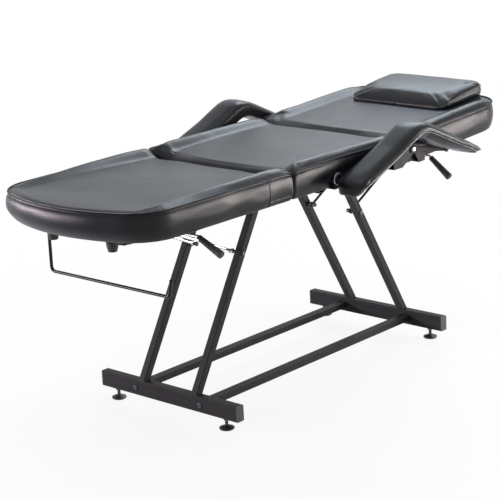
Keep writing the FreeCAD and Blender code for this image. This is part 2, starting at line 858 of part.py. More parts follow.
def leg(name, x, way, bolt_heights):
    """A leaning square tube cut level at both ends, drawn as a front leg and turned for a rear one."""
    base = "(bar_clearance + bar_height)"
    lean = "tan(leg_lean * 1deg)"
    shift = f"(cushion_floor - seat_tube - {base}) * {lean}"

    def outline(wall):
        deep = f"(leg_width / 2 - {wall}) / cos(leg_lean * 1deg)"
        return [(f"-bar_spacing / 2 - {deep}", base), (f"-bar_spacing / 2 + {deep}", base),
                (f"-bar_spacing / 2 + {shift} + {deep}", "(cushion_floor - seat_tube)"),
                (f"-bar_spacing / 2 + {shift} - {deep}", "(cushion_floor - seat_tube)")]
    body = doc.addObject("PartDesign::Body", "Leg")
    sketch = new_sketch(body, "YZ_Plane")
    polygon(sketch, outline("0"))
    feature = pad(body, sketch, "leg_width")
    round_edges(body, feature, "leg_corner", lambda edge: edge.Length > 2 * size.leg_width)
    doc.recompute()
    sketch = new_sketch(body, "YZ_Plane")
    polygon(sketch, outline("leg_wall"))
    pocket(body, sketch, "leg_width - 2 * leg_wall")
    for height in bolt_heights:
        sketch = new_sketch(body, "YZ_Plane")
        circle(sketch, f"-bar_spacing / 2 + ({height} - {base}) * {lean}", height,
               "bolt_radius + running_gap")
        pocket(body, sketch, "leg_width + overrun")
    put(body, x, 0, 0, FreeCAD.Rotation(Z_AXIS, 0 if way < 0 else 180))
    keep(body, name)


def make_legs():
    for front, way in (("front", -1), ("rear", 1)):
        heights = ["(cushion_floor - pivot_drop)"]
        if way > 0:
            heights.append("(cushion_floor - upper_bolt_drop)")
        for left, side in SIDES:
            leg(f"{front}_{left}_leg", side * size.leg_spacing / 2, way, heights)


def make_leg_bolts():
    """Bolts through the legs: the lower four carry the struts on spacer sleeves, under round knobs."""
    outside = (size.leg_spacing + size.leg_width) / 2
    inside = outside - size.leg_width
    eye_room = size.strut_eye_width + 2 * size.face_gap
    through = "leg_width + sleeve_length + strut_eye_width + 2 * face_gap + knob_length * 0.8"
    long_bolt = turned(bolt_profile(through))
    short_bolt = turned(bolt_profile("leg_width + locknut_height"))
    sleeve = turned([("bolt_radius + running_gap", "0"), ("sleeve_radius", "0"),
                     ("sleeve_radius", "sleeve_length"), ("bolt_radius + running_gap", "sleeve_length")])
    bore = "bolt_radius + running_gap"
    knob = turned([(bore, "0"), ("knob_radius", "0"), ("knob_radius", "knob_length * 0.8"),
                   ("knob_radius * 0.6", "knob_length"), ("0", "knob_length"),
                   ("0", "knob_length * 0.8 + running_gap"), (bore, "knob_length * 0.8 + running_gap")])
    nut = turned([(bore, "0"), ("bolt_head_radius * 0.85", "0"),
                  ("bolt_head_radius * 0.85", "locknut_height"),
                  (bore, "locknut_height")])
    bolts, shorts, sleeves, knobs, nuts = [], [], [], [], []
    for way in (-1, 1):
        for _, side in SIDES:
            outward = FreeCAD.Rotation(Z_AXIS, X_AXIS * side)
            inward = FreeCAD.Rotation(Z_AXIS, X_AXIS * -side)
            place = pivot_place(way)
            bolts.append(spot(side * outside, *place, outward))
            sleeves.append(spot(side * inside, *place, inward))
            knobs.append(spot(side * (inside - size.sleeve_length - eye_room), *place, inward))
            if way > 0:
                height = size.cushion_floor - size.upper_bolt_drop
                place = (leg_place(height), height)
                shorts.append(spot(side * outside, *place, outward))
                nuts.append(spot(side * inside, *place, inward))
    group("strut_pivot_bolts", long_bolt, bolts)
    group("upper_leg_bolts", short_bolt, shorts)
    group("upper_leg_nuts", nut, nuts)
    group("spacer_sleeves", sleeve, sleeves)
    group("pivot_knobs", knob, knobs)


# Frames under the cushions


def ladder(names, reaches, rail_spacing, width, wall, height, section):
    """Square tubes: one across at each named place, and two rails in short lengths between them."""
    pieces = []
    rail_x = getattr(size, rail_spacing) / 2
    side = getattr(size, width)
    for name, reach in zip(names, reaches):
        across = tube(width, width, f"2 * {reach}", wall)
        pieces.append(put(across, 0, getattr(size, name), height, ALONG_X, section))
    for name, following in zip(names, names[1:]):
        middle = (getattr(size, name) + getattr(size, following)) / 2
        for _, way in SIDES:
            rail = tube(width, width, f"{following} - {name} - {width}", wall)
            pieces.append(put(rail, way * rail_x, middle, height, ALONG_Y, section))
    return pieces


def make_seat_frame():
    middle = size.cushion_floor - size.seat_tube / 2
    pieces = []
    for place, reach in ((-size.seat_front_tube, "seat_front_half_width"),
                         (-size.arm_pivot_y, "seat_side_half_width"),
                         (size.seat_rear_tube, "seat_side_half_width")):
        across = tube("seat_tube", "seat_tube", f"2 * {reach}", "seat_wall")
        pieces.append(put(across, 0, place, middle, ALONG_X))
    rails = (("seat_front_tube - arm_pivot_y", -(size.seat_front_tube + size.arm_pivot_y) / 2),
             ("seat_rear_tube + arm_pivot_y", (size.seat_rear_tube - size.arm_pivot_y) / 2))
    for _, side in SIDES:
        for length, place in rails:
            rail = tube("seat_tube", "seat_tube", f"{length} - seat_tube", "seat_wall")
            pieces.append(put(rail, side * size.leg_spacing / 2, place, middle, ALONG_Y))
        pieces.append(put(hinge_lug("seat_front_tube - seat_tube / 2", "leg_hinge_y", -1),
                          side * (size.lug_inset + size.lug_thickness / 2), 0, 0))
    weld("seat_frame", pieces)


def hinge_lug(tube_edge, axis, way):
    """A lug from the edge of a tube to the hinge axis between seat and leg section."""
    sign = "-" if way < 0 else ""
    height = "(cushion_floor - leg_hinge_drop)"
    axis_y = f"{sign}({axis})"
    edge_y = f"{sign}({tube_edge})"
    outline = [(axis_y, f"{height} - lug_radius"), (edge_y, f"{height} - lug_radius"),
               (edge_y, f"{height} + lug_radius"), (axis_y, f"{height} + lug_radius")]
    return plate(outline, "lug_thickness", discs=[(axis_y, height, "lug_radius")],
                 holes=[(axis_y, height, "bolt_radius + running_gap")])


def make_leg_frame():
    names = ["leg_frame_start", "leg_slot_tube", "holder_tube", "leg_frame_end"]
    pieces = ladder(names, ["frame_half_width"] * len(names), "frame_rail_spacing", "tube_size",
                    "tube_wall", 0, LEG_SECTION)
    lug_x = size.lug_inset + 1.5 * size.lug_thickness + size.face_gap
    for _, side in SIDES:
        lug = hinge_lug("leg_hinge_y + leg_frame_start - tube_size / 2", "leg_hinge_y", -1)
        pieces.append(put(lug, side * lug_x, 0, 0))
    socket_radius = "holder_rod_radius + running_gap + socket_wall"
    reach = size.holder_x - size.holder_rod_radius - size.running_gap - size.socket_wall / 2
    stub = tube("tube_size", "tube_size",
                "holder_x - holder_rod_radius - running_gap - socket_wall / 2 - frame_half_width",
                "tube_wall")
    place = -size.leg_hinge_y - size.holder_tube
    pieces.append(put(stub, -(reach + size.frame_half_width) / 2, place,
                      size.cushion_floor - size.leg_hinge_drop, ALONG_X))
    foot = size.cushion_floor - size.tube_size
    pieces.append(cylinder(socket_radius, "socket_length", -size.holder_x, place, foot, UPRIGHT))
    joined = doc.addObject("Part::MultiFuse", "LegFrame")
    joined.Shapes = pieces
    joined.Refine = True
    room = size.holder_rod_radius + size.running_gap + size.socket_wall
    bore = cylinder("holder_rod_radius + running_gap", "tube_size + 2 * overrun", -size.holder_x, place,
                    foot - size.overrun, UPRIGHT)
    head_room = cylinder(socket_radius, "tube_size", -size.holder_x, place, foot + size.socket_length,
                         UPRIGHT)
    head_room.Radius = room
    keep(drilled(joined, [bore, head_room]), "leg_frame")


def make_leg_hinge_pins():
    """Rivets through the seat's lugs and the leg section's lugs."""
    grip_on = "2 * lug_thickness + 2 * face_gap"
    head = "lug_thickness / 2"
    pin = turned([("0", f"-({head})"), ("lug_radius * 0.8", f"-({head})"), ("lug_radius * 0.8", "0"),
                  ("bolt_radius", "0"), ("bolt_radius", grip_on), ("lug_radius * 0.8", grip_on),
                  ("lug_radius * 0.8", f"{grip_on} + {head}"), ("0", f"{grip_on} + {head}")])
    places = []
    for _, side in SIDES:
        places.append(spot(side * size.lug_inset, -size.leg_hinge_y,
                           size.cushion_floor - size.leg_hinge_drop,
                           FreeCAD.Rotation(Z_AXIS, X_AXIS * side)))
    group("leg_hinge_pins", pin, places)


def make_back_frame():
    names = ["back_frame_start", "back_slot_tube", "back_middle_tube", "back_frame_end"]
    reaches = ["seat_side_half_width"] + ["frame_half_width"] * (len(names) - 1)
    height = -size.bullnose_radius - size.tube_size / 2
    weld("back_frame", ladder(names, reaches, "frame_rail_spacing", "tube_size", "tube_wall", height,
                              BACK_SECTION))


# Struts, slotted plates and clamp levers


def slot_half():
    return size.crossbar_radius + size.slot_clearance


def make_slot_plates(name, path, top, section):
    """Two plates under a section: the strut's crossbar runs in their curved slots."""
    outer = slot_half() + size.slot_edge
    first, last = path[0], path[-1]
    lows = sorted([first, last])
    corners = [FreeCAD.Vector(0, lows[0][0] - outer, lows[0][1]),
               FreeCAD.Vector(0, lows[1][0] + outer, lows[1][1]),
               FreeCAD.Vector(0, lows[1][0] + outer, top), FreeCAD.Vector(0, lows[0][0] - outer, top)]
    web = Part.makePolygon(corners + corners[:1])
    thickness = size.slot_plate_thickness
    shape = thick(band(path, outer), thickness, -thickness / 2).fuse(thick(web, thickness, -thickness / 2))
    room = thickness + 2 * size.overrun
    shape = shape.cut(thick(band(path, slot_half()), room, -room / 2)).removeSplitter()
    plates = formed(shape)
    group(name, plates,
          [spot(side * size.slot_plate_spacing / 2, 0, 0, section=section) for _, side in SIDES])


def strut_x():
    """The middle of a strut's eye, beside its sleeve on the pivot bolt."""
    inside = (size.leg_spacing - size.leg_width) / 2
    return inside - size.sleeve_length - size.face_gap - size.strut_eye_width / 2


def bar_half():
    """Half the length of a crossbar: it ends just outside the strut's rods."""
    return strut_x() + size.strut_rod_radius + size.face_gap


def make_strut(name, pivot, bar):
    """Two rods with eyes on the pivot bolts, welded to a crossbar with a bore for its clamp lever."""
    pieces = []
    direction = FreeCAD.Vector(0, bar[0] - pivot[0], bar[1] - pivot[1])
    start = direction.normalize() * size.strut_eye_radius * EYE_RISE_SHARE
    length = math.dist(pivot, bar) - size.strut_eye_radius * EYE_RISE_SHARE
    for _, side in SIDES:
        eye = plate([], "strut_eye_width", discs=[("0", "0", "strut_eye_radius")],
                    holes=[("0", "0", "bolt_radius + running_gap")])
        pieces.append(put(eye, side * strut_x(), *pivot))
        rod = cylinder("strut_rod_radius", "strut_rod_radius", side * strut_x(), pivot[0] + start.y,
                       pivot[1] + start.z, FreeCAD.Rotation(Z_AXIS, direction))
        rod.setExpression("Height", None)
        rod.Height = length
        pieces.append(rod)
    half = bar_half()
    crossbar = cylinder("crossbar_radius", "crossbar_radius", -half, *bar)
    crossbar.setExpression("Height", None)
    crossbar.Height = 2 * half
    pieces.append(crossbar)
    joined = doc.addObject("Part::MultiFuse", "Strut")
    joined.Shapes = pieces
    bore = cylinder("lever_radius + running_gap", "lever_insert + face_gap + overrun",
                    half - size.lever_insert - size.face_gap, *bar)
    keep(cut(joined, bore), name)


def make_lever(name, bar, reach, bend):
    """A clamp lever: a shaft in the crossbar's bore, a collar against its end and a bent handle."""
    start = bar_half()
    angle = math.radians(bend)
    knee = FreeCAD.Vector(reach, 0, 0)
    down = FreeCAD.Vector(math.cos(angle), 0, -math.sin(angle))
    knee_reach = size.lever_bend_radius * math.tan(angle / 2)
    tip = knee + down * (size.lever_core + knee_reach)
    shaft = bent_rod([FreeCAD.Vector(start - size.lever_insert, 0, 0), knee, tip], size.lever_radius,
                     size.lever_bend_radius)
    collar = Part.makeCylinder(size.lever_collar_radius, size.lever_collar_length,
                               FreeCAD.Vector(start + size.face_gap, 0, 0), X_AXIS)
    keep(put(formed(shaft.fuse(collar)), 0, *bar), name)
    grip = turned(grip_profile())
    grip_start = knee + down * (knee_reach + size.face_gap)
    keep(put(grip, grip_start.x, bar[0], bar[1] + grip_start.z, FreeCAD.Rotation(Z_AXIS, down)),
         f"{name}_grip")


def grip_profile():
    """A tapered rubber grip with ribs, bored to slide over the lever's end."""
    bore = "lever_radius + running_gap"
    edge = "grip_groove"
    corners = [(bore, "0"), (f"grip_radius - {edge}", "0"), ("grip_radius", edge)]
    pitch = f"grip_length / {GRIP_GROOVES + 2}"
    for step in range(1, GRIP_GROOVES + 1):
        radius = f"(grip_radius - (grip_radius - grip_tip_radius) * {step} / {GRIP_GROOVES + 2})"
        place = f"{pitch} * {step}"
        corners += [(radius, place), (f"{radius} - grip_groove", f"{place} + grip_groove"),
                    (f"{radius} - grip_groove", f"{place} + 2 * grip_groove"),
                    (radius, f"{place} + 3 * grip_groove")]
    depth = "lever_core + face_gap"
    corners += [("grip_tip_radius", f"grip_length - 2 * {edge}"),
                (f"grip_tip_radius - 2 * {edge}", "grip_length"),
                ("0", "grip_length"), ("0", depth), (bore, depth)]
    return corners


# Side plates, hinges and armrests


def side_plate_x():
    return size.cushion_width / 2 + size.side_gap + size.plate_thickness / 2


def flange(side, length, y, z, section=None):
    """A flat foot under the cushion, welded to the end of a frame tube."""
    foot = block("seat_tube", "plate_width", "flange_thickness")
    foot.setExpression("Length", None)
    foot.Length = length
    x = size.seat_side_half_width if side > 0 else -size.seat_side_half_width - length
    return put(foot, x, y - size.plate_width / 2, z, section=section)


def make_side_brackets():
    floor = size.cushion_floor - size.flange_thickness
    low = "cushion_floor - flange_thickness"
    reach = side_plate_x() + size.plate_thickness / 2 - size.seat_side_half_width
    for left, side in SIDES:
        x = side * side_plate_x()
        outline = [("-arm_pivot_y - plate_width / 2", low), ("-arm_pivot_y + plate_width / 2", low),
                   ("-arm_pivot_y + pivot_eye_radius", "(cushion_floor + arm_pivot_rise)"),
                   ("-arm_pivot_y - pivot_eye_radius", "(cushion_floor + arm_pivot_rise)")]
        pivot = ("-arm_pivot_y", "(cushion_floor + arm_pivot_rise)")
        post = plate(outline, "plate_thickness", discs=[(*pivot, "pivot_eye_radius")],
                     holes=[(*pivot, "pivot_pin_radius + running_gap")])
        weld(f"{left}_arm_bracket", [put(post, x, 0, 0), flange(side, reach, -size.arm_pivot_y, floor)])
        outline = [("seat_rear_tube - plate_width / 2", low), ("seat_rear_tube + plate_width", low),
                   (f"back_hinge_y + pivot_eye_radius * {EYE_SIDE_SHARE}",
                    f"cushion_floor + bullnose_radius - pivot_eye_radius * {EYE_RISE_SHARE}"),
                   (f"back_hinge_y - pivot_eye_radius * {EYE_SIDE_SHARE}",
                    f"cushion_floor + bullnose_radius + pivot_eye_radius * {EYE_RISE_SHARE}"),
                   ("seat_rear_tube - plate_width / 2", "cushion_floor + plate_width / 2")]
        hinge = ("back_hinge_y", "(cushion_floor + bullnose_radius)")
        strap = plate(outline, "plate_thickness", discs=[(*hinge, "pivot_eye_radius")],
                      holes=[(*hinge, "pivot_pin_radius + running_gap")])
        weld(f"{left}_seat_hinge_plate", [put(strap, x, 0, 0),
                                          flange(side, reach, size.seat_rear_tube, floor)])


def back_plate_x():
    return side_plate_x() + size.plate_thickness + size.plate_gap


def arm_plate_x():
    return back_plate_x() + size.plate_thickness + size.plate_gap


def make_back_hinge_plates():
    """Plates beside the back cushion: each carries a hinge eye and the guide pin of an armrest."""
    low = "-bullnose_radius - flange_thickness"
    foot_y = "back_frame_start"
    reach = back_plate_x() + size.plate_thickness / 2 - size.seat_side_half_width
    half = "plate_width / 4"
    for left, side in SIDES:
        strap = [("0", f"-{half}"), ("guide_pin_offset", f"-guide_pin_drop - {half}"),
                 ("guide_pin_offset", f"-guide_pin_drop + {half}"), ("0", half)]
        foot = [(f"{foot_y} - plate_width / 2", low), (f"{foot_y} + plate_width / 2", low),
                (f"{foot_y} + plate_width / 2", "-pivot_eye_radius"), ("0", "-pivot_eye_radius / 2")]
        body = plate(strap, "plate_thickness",
                     discs=[("0", "0", "pivot_eye_radius"), ("guide_pin_offset", "-guide_pin_drop", half)])
        sketch = new_sketch(body, "YZ_Plane")
        polygon(sketch, foot)
        pad(body, sketch, "plate_thickness")
        holes = (("0", "0", "pivot_pin_radius + running_gap"),
                 ("guide_pin_offset", "-guide_pin_drop", "guide_pin_radius + running_gap"))
        for hole in holes:
            sketch = new_sketch(body, "YZ_Plane")
            circle(sketch, *hole)
            pocket(body, sketch, "plate_thickness + overrun")
        put(body, side * back_plate_x(), 0, 0, section=BACK_SECTION)
        weld(f"{left}_back_hinge_plate",
             [body, flange(side, reach, size.back_frame_start, -size.bullnose_radius - size.flange_thickness,
                           BACK_SECTION)])


def make_side_pins():
    """Back hinge pins with an outer head, flush arm pivot pins, and guide pins for the armrests."""
    through = "2 * plate_thickness + plate_gap + face_gap"
    hinge = turned([("0", "0"), ("pivot_pin_radius", "0"), ("pivot_pin_radius", through),
                    ("pin_head_radius", through), ("pin_head_radius", f"{through} + pin_head_height / 2"),
                    ("pin_head_radius * 0.7", f"{through} + pin_head_height"),
                    ("0", f"{through} + pin_head_height")])
    arm_through = "3 * plate_thickness + 2 * plate_gap"
    arm_pin = turned([("0", "0"), ("pivot_pin_radius", "0"), ("pivot_pin_radius", arm_through),
                      ("0", arm_through)])
    bore = "pivot_pin_radius + running_gap"
    disc_length = "plate_thickness + 2 * plate_gap - 2 * face_gap"
    disc = turned([(bore, "0"), ("pivot_disc_radius", "0"),
                   ("pivot_disc_radius", f"{disc_length} - plate_gap"),
                   ("pivot_disc_radius - plate_gap", disc_length), (bore, disc_length)])
    guide_length = "2 * plate_thickness + plate_gap - face_gap"
    guide = turned([("0", "0"), ("guide_pin_radius", "0"), ("guide_pin_radius", guide_length),
                    ("0", guide_length)])
    inner = side_plate_x() - size.plate_thickness / 2
    hinges, arm_pins, discs, guides = [], [], [], []
    for _, side in SIDES:
        outward = FreeCAD.Rotation(Z_AXIS, X_AXIS * side)
        hinges.append(spot(side * inner, *back_hinge(), outward))
        arm_pins.append(spot(side * inner, *arm_pivot(), outward))
        discs.append(spot(side * (inner + size.plate_thickness + size.face_gap), *arm_pivot(), outward))
        guides.append(spot(side * (back_plate_x() - size.plate_thickness / 2), size.guide_pin_offset,
                           -size.guide_pin_drop, outward, BACK_SECTION))
    group("back_hinge_pins", hinge, hinges)
    group("arm_pivot_pins", arm_pin, arm_pins)
    group("arm_pivot_discs", disc, discs)
    group("arm_guide_pins", guide, guides)


def guide_pin():
    """The guide pin's place in the chair's frame at rest."""
    across, up = turn_point((size.guide_pin_offset, -size.guide_pin_drop), size.back_tilt)
    hinge = back_hinge()
    return (hinge[0] + across, hinge[1] + up)


def arm_seam(share):
    """The place of the arm pad's seam at a share of its length."""
    start = -size.arm_pivot_y - size.arm_nose
    length = guide_pin()[0] + size.arm_tail - start
    for (left, low, *_), (right, high, *_) in zip(ARM_STATION_SHARES, ARM_STATION_SHARES[1:]):
        if share <= right:
            break
    part = (share - left) / (right - left)
    rise = low + (high - low) * part
    return (start + share * length, size.cushion_floor - size.arm_tip_drop + size.arm_rise * rise)


def arm_slot_path():
    pivot = arm_pivot()
    path = seen_path(guide_pin(), back_hinge(), 1.0, pivot, size.arm_ratio, size.back_tilt_range)
    return [(across + pivot[0], up + pivot[1]) for across, up in path]


def arm_strip(margin, thickness, start):
    """The bent steel strip of an armrest, from its pivot eye to the slotted rear end."""
    path = [arm_pivot()]
    for share, depth in ARM_STRIP_SHARES:
        across, up = arm_seam(share)
        path.append((across, up - depth * size.arm_depth))
    slot = arm_slot_path()
    path.append(slot[-1])
    eye = Part.makeCylinder(size.pivot_eye_radius + margin, thickness,
                            FreeCAD.Vector(start, *arm_pivot()), X_AXIS)
    slot_edge = size.guide_pin_radius + size.slot_clearance + size.guide_slot_edge + margin
    strip = thick(band(path, size.arm_strip / 2 + margin), thickness, start)
    end = solid_slot(slot, slot_edge, thickness, start)
    return strip.fuse([eye, end])


def solid_slot(path, half_width, thickness, start):
    """A run of round-ended links along a path: it fills the bends of a tight slot."""
    pieces = []
    for here, following in zip(path, path[1:]):
        pieces.append(thick(link(here, following, half_width), thickness, start))
    return pieces[0].fuse(pieces[1:])


def link(here, following, half_width):
    along = FreeCAD.Vector(0, following[0] - here[0], following[1] - here[1]).normalize()
    across = X_AXIS.cross(along) * half_width
    first = FreeCAD.Vector(0, *here)
    last = FreeCAD.Vector(0, *following)
    tip = along * half_width
    return Part.Wire([line(first + across, last + across), arc(last + across, last + tip, last - across),
                      line(last - across, first - across), arc(first - across, first - tip, first + across)])


def make_armrests():
    inner = arm_plate_x() - size.plate_thickness / 2
    thickness = size.plate_thickness
    plate_shape = arm_strip(0.0, thickness, inner)
    slot = band(arm_slot_path(), size.guide_pin_radius + size.slot_clearance)
    room = thickness + 2 * size.overrun
    plate_shape = plate_shape.cut(thick(slot, room, inner - size.overrun))
    eye = Part.makeCylinder(size.pivot_pin_radius + size.running_gap, room,
                            FreeCAD.Vector(inner - size.overrun, *arm_pivot()), X_AXIS)
    plate_shape = plate_shape.cut(eye).removeSplitter()
    recess = arm_strip(size.face_gap, thickness + size.overrun, inner - size.overrun)
    pad_shape = arm_pad(inner).cut(recess)
    for left, side in SIDES:
        for name, shape in (("arm_plate", plate_shape), ("arm_pad", pad_shape)):
            whole = shape if side > 0 else shape.mirror(FreeCAD.Vector(0, 0, 0), X_AXIS)
            keep(put(formed(whole), 0, 0, 0), f"{left}_{name}")


def arm_pad(inner):
    """The padded armrest: sections with a seam at half height, lofted along its rise and fall."""
    sections = []
    middle = inner + size.arm_width / 2
    for share, _, thick_share, width_share in ARM_STATION_SHARES:
        y, seam = arm_seam(share)
        half = size.arm_width / 2 * width_share
        low = seam - size.arm_depth * thick_share
        shoulder = size.arm_shoulder * width_share
        rise = size.arm_shoulder_height * thick_share
        bulge = math.sqrt(2) / 2

        def point(across, z):
            return FreeCAD.Vector(middle + across, y, z)
        outer_low = half - size.arm_undercut * width_share
        outer = arc(point(half, seam), point(half - shoulder * (1 - bulge), seam + rise * bulge),
                    point(half - shoulder, seam + rise))
        top = arc(point(half - shoulder, seam + rise), point(0, seam + rise + size.arm_crown * thick_share),
                  point(shoulder - half, seam + rise))
        near = arc(point(shoulder - half, seam + rise),
                   point(-half + shoulder * (1 - bulge), seam + rise * bulge),
                   point(-half, seam))
        sections.append(Part.Wire([line(point(-half, low), point(outer_low, low)),
                                   line(point(outer_low, low), point(half, seam)), outer, top, near,
                                   line(point(-half, seam), point(-half, low))]))
    return Part.makeLoft(sections, True, True)


# Pieces of the leg section


def make_bumpers():
    bumper = turned([("0", "0"), ("bumper_radius", "0"), ("bumper_radius", "-bumper_height / 3"),
                     ("bumper_tip_radius", "-bumper_height + face_gap"),
                     ("bumper_tip_radius - overrun / 2", "-bumper_height"), ("0", "-bumper_height")])
    places = [spot(side * size.frame_rail_spacing / 2, size.bumper_place, -size.tube_size / 2,
                   section=LEG_SECTION)
              for _, side in SIDES]
    group("foot_bumpers", bumper, places)


def make_paper_roll_holder():
    """A bent rod that hangs in a socket under the leg section and holds a roll of paper."""
    foot = size.cushion_floor - size.tube_size + size.socket_length
    top = foot + size.face_gap
    x = -size.holder_x
    run = size.cushion_floor - size.holder_drop
    far = x + size.holder_run
    lean = math.radians(size.holder_lean)
    points = [FreeCAD.Vector(x, 0, top), FreeCAD.Vector(x, 0, run), FreeCAD.Vector(far, 0, run),
              FreeCAD.Vector(far + size.holder_tip * math.sin(lean), 0,
                             run + size.holder_tip * math.cos(lean))]
    rod = bent_rod(points, size.holder_rod_radius, size.holder_bend)
    head = Part.makeCylinder(size.holder_head_radius, size.holder_head_height, FreeCAD.Vector(x, 0, top),
                             Z_AXIS)
    rod = rod.fuse(head)
    keep(put(formed(rod), 0, -size.leg_hinge_y - size.holder_tube, 0), "paper_roll_holder")


# Assembly and export

LEG_SECTION = spot(0, *leg_hinge(), FreeCAD.Rotation(Z_AXIS, 180))
BACK_SECTION = spot(0, *back_hinge(), FreeCAD.Rotation(X_AXIS, size.back_tilt))


def make_mechanisms():
    hinge = leg_hinge()
    pivot = pivot_place(-1)
    bar = (hinge[0] - size.leg_bar_offset, size.cushion_floor - size.leg_bar_drop)
    path = seen_path(bar, pivot, size.leg_strut_ratio, hinge, 1.0, size.leg_fold_range)
    make_slot_plates("leg_slot_plates", [(-across, up) for across, up in path], -size.tube_size / 2,
                     LEG_SECTION)
    make_strut("leg_strut", pivot, bar)
    make_lever("leg_lever", bar, size.leg_lever_length, size.leg_lever_bend)
    hinge = back_hinge()
    pivot = pivot_place(1)
    bar = (hinge[0] + size.back_bar_offset, size.cushion_floor - size.back_bar_drop)
    path = seen_path(bar, pivot, size.back_strut_ratio, hinge, 1.0, size.back_tilt_range, size.back_tilt)
    make_slot_plates("back_slot_plates", path, -size.bullnose_radius - size.tube_size, BACK_SECTION)
    make_strut("back_strut", pivot, bar)
    make_lever("back_lever", bar, size.back_lever_length, size.back_lever_bend)


def check_all():
    doc.recompute()
    for thing in doc.Objects:
        if {"Invalid", "Error"} & set(thing.State):
            raise RuntimeError(f"{thing.Label} ({thing.Name}) failed: {thing.State}")
    for name, thing in nodes.items():
        if thing.Shape.isNull() or not thing.Shape.isValid() or not thing.Shape.Solids:
            raise RuntimeError(f"{name} has no valid solid")


def export_all():
    os.makedirs("parts", exist_ok=True)
    for name, thing in nodes.items():
        thing.Shape.exportStep(f"parts/{name}.step")
        box = thing.Shape.BoundBox
        print(f"{name}: {len(thing.Shape.Solids)} solids, {thing.Shape.Volume:.0f} mm3, "
              f"x {box.XMin:.1f} {box.XMax:.1f} y {box.YMin:.1f} {box.YMax:.1f} z {box.ZMin:.1f} {box.ZMax:.1f}")


make_foot_bars()
make_end_caps()
make_levelling_feet()
make_rails()
make_legs()
make_leg_bolts()
make_seat_frame()
make_leg_frame()
make_leg_hinge_pins()
make_back_frame()
make_mechanisms()
make_side_brackets()
make_back_hinge_plates()
make_side_pins()
make_armrests()
make_bumpers()
make_paper_roll_holder()
make_cushions()
make_pillow()
check_all()
export_all()
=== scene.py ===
import json
import math
import bpy
import numpy as np
from mathutils import Matrix, Vector, kdtree
from mathutils.bvhtree import BVHTree


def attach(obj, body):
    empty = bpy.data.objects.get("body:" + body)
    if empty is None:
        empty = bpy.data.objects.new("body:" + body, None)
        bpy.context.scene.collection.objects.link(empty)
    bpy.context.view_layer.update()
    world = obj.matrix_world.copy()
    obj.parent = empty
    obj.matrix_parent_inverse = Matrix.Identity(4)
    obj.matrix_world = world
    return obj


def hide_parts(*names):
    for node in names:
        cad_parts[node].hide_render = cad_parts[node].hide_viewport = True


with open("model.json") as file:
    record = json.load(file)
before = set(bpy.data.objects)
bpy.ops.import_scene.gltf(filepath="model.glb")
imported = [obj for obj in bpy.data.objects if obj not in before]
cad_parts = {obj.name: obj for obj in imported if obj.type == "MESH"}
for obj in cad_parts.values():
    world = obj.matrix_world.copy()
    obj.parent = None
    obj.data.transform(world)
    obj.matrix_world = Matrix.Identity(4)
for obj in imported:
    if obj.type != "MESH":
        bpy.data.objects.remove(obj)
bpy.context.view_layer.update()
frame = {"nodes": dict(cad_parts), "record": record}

MM = 0.001
GATHER_SEED = 7
rng = np.random.default_rng(GATHER_SEED)

# Camera: place, heading, roll and lens solved from the photograph

CAMERA_PLACE = Vector((3.559, -3.990, 1.892))
CAMERA_AZIMUTH, CAMERA_ELEVATION, CAMERA_ROLL = (math.radians(v) for v in (42.433, 15.536, -2.769))
SENSOR, LENS = 36.0, 124.68
CLIP_NEAR, CLIP_FAR = 0.1, 50.0


def make_camera():
    cos_e = math.cos(CAMERA_ELEVATION)
    back = Vector((math.sin(CAMERA_AZIMUTH) * cos_e, -math.cos(CAMERA_AZIMUTH) * cos_e,
                   math.sin(CAMERA_ELEVATION)))
    right = (-back).cross(Vector((0, 0, 1))).normalized()
    up = right.cross(-back)
    across = right * math.cos(CAMERA_ROLL) + up * math.sin(CAMERA_ROLL)
    upward = up * math.cos(CAMERA_ROLL) - right * math.sin(CAMERA_ROLL)
    data = bpy.data.cameras.new("camera")
    data.sensor_width = SENSOR
    data.lens = LENS
    data.clip_start, data.clip_end = CLIP_NEAR, CLIP_FAR
    camera = bpy.data.objects.new("camera", data)
    bpy.context.scene.collection.objects.link(camera)
    turn = Matrix((across, upward, back)).transposed().to_4x4()
    camera.matrix_world = Matrix.Translation(CAMERA_PLACE) @ turn
    bpy.context.scene.camera = camera


# Materials


def shader(name, **sockets):
    """A new material with a Principled shader whose plain sockets are set by name."""
    material = bpy.data.materials.new(name)
    material.use_nodes = True
    tree = material.node_tree
    bsdf = tree.nodes["Principled BSDF"]
    for key, value in sockets.items():
        bsdf.inputs[key.replace("_", " ")].default_value = value
    return material, tree, bsdf


def node(tree, kind, **settings):
    made = tree.nodes.new(kind)
    for key, value in settings.items():
        if key in made.inputs:
            made.inputs[key].default_value = value
        else:
            setattr(made, key, value)
    return made


def place_node(tree, scale=(1, 1, 1)):
    """Object coordinates, scaled."""
    coords = node(tree, "ShaderNodeTexCoord")
    mapping = node(tree, "ShaderNodeMapping", Scale=scale)
    tree.links.new(coords.outputs["Object"], mapping.inputs["Vector"])
    return mapping.outputs["Vector"]


def ramp(tree, source, stops):
    made = node(tree, "ShaderNodeValToRGB")
    elements = made.color_ramp.elements
    while len(elements) < len(stops):
        elements.new(0.5)
    for element, (place, colour) in zip(elements, stops):
        element.position = place
        element.color = (*colour, 1) if len(colour) == 3 else colour
    tree.links.new(source, made.inputs["Fac"])
    return made.outputs["Color"]


def grey(value):
    return (value, value, value)


def bumped(tree, bsdf, layers):
    """Chains bump nodes: each layer is a height output, its strength and its distance."""
    normal = None
    for height, strength, distance in layers:
        bump = node(tree, "ShaderNodeBump", Strength=strength, Distance=distance)
        tree.links.new(height, bump.inputs["Height"])
        if normal is not None:
            tree.links.new(normal, bump.inputs["Normal"])
        normal = bump.outputs["Normal"]
    tree.links.new(normal, bsdf.inputs["Normal"])


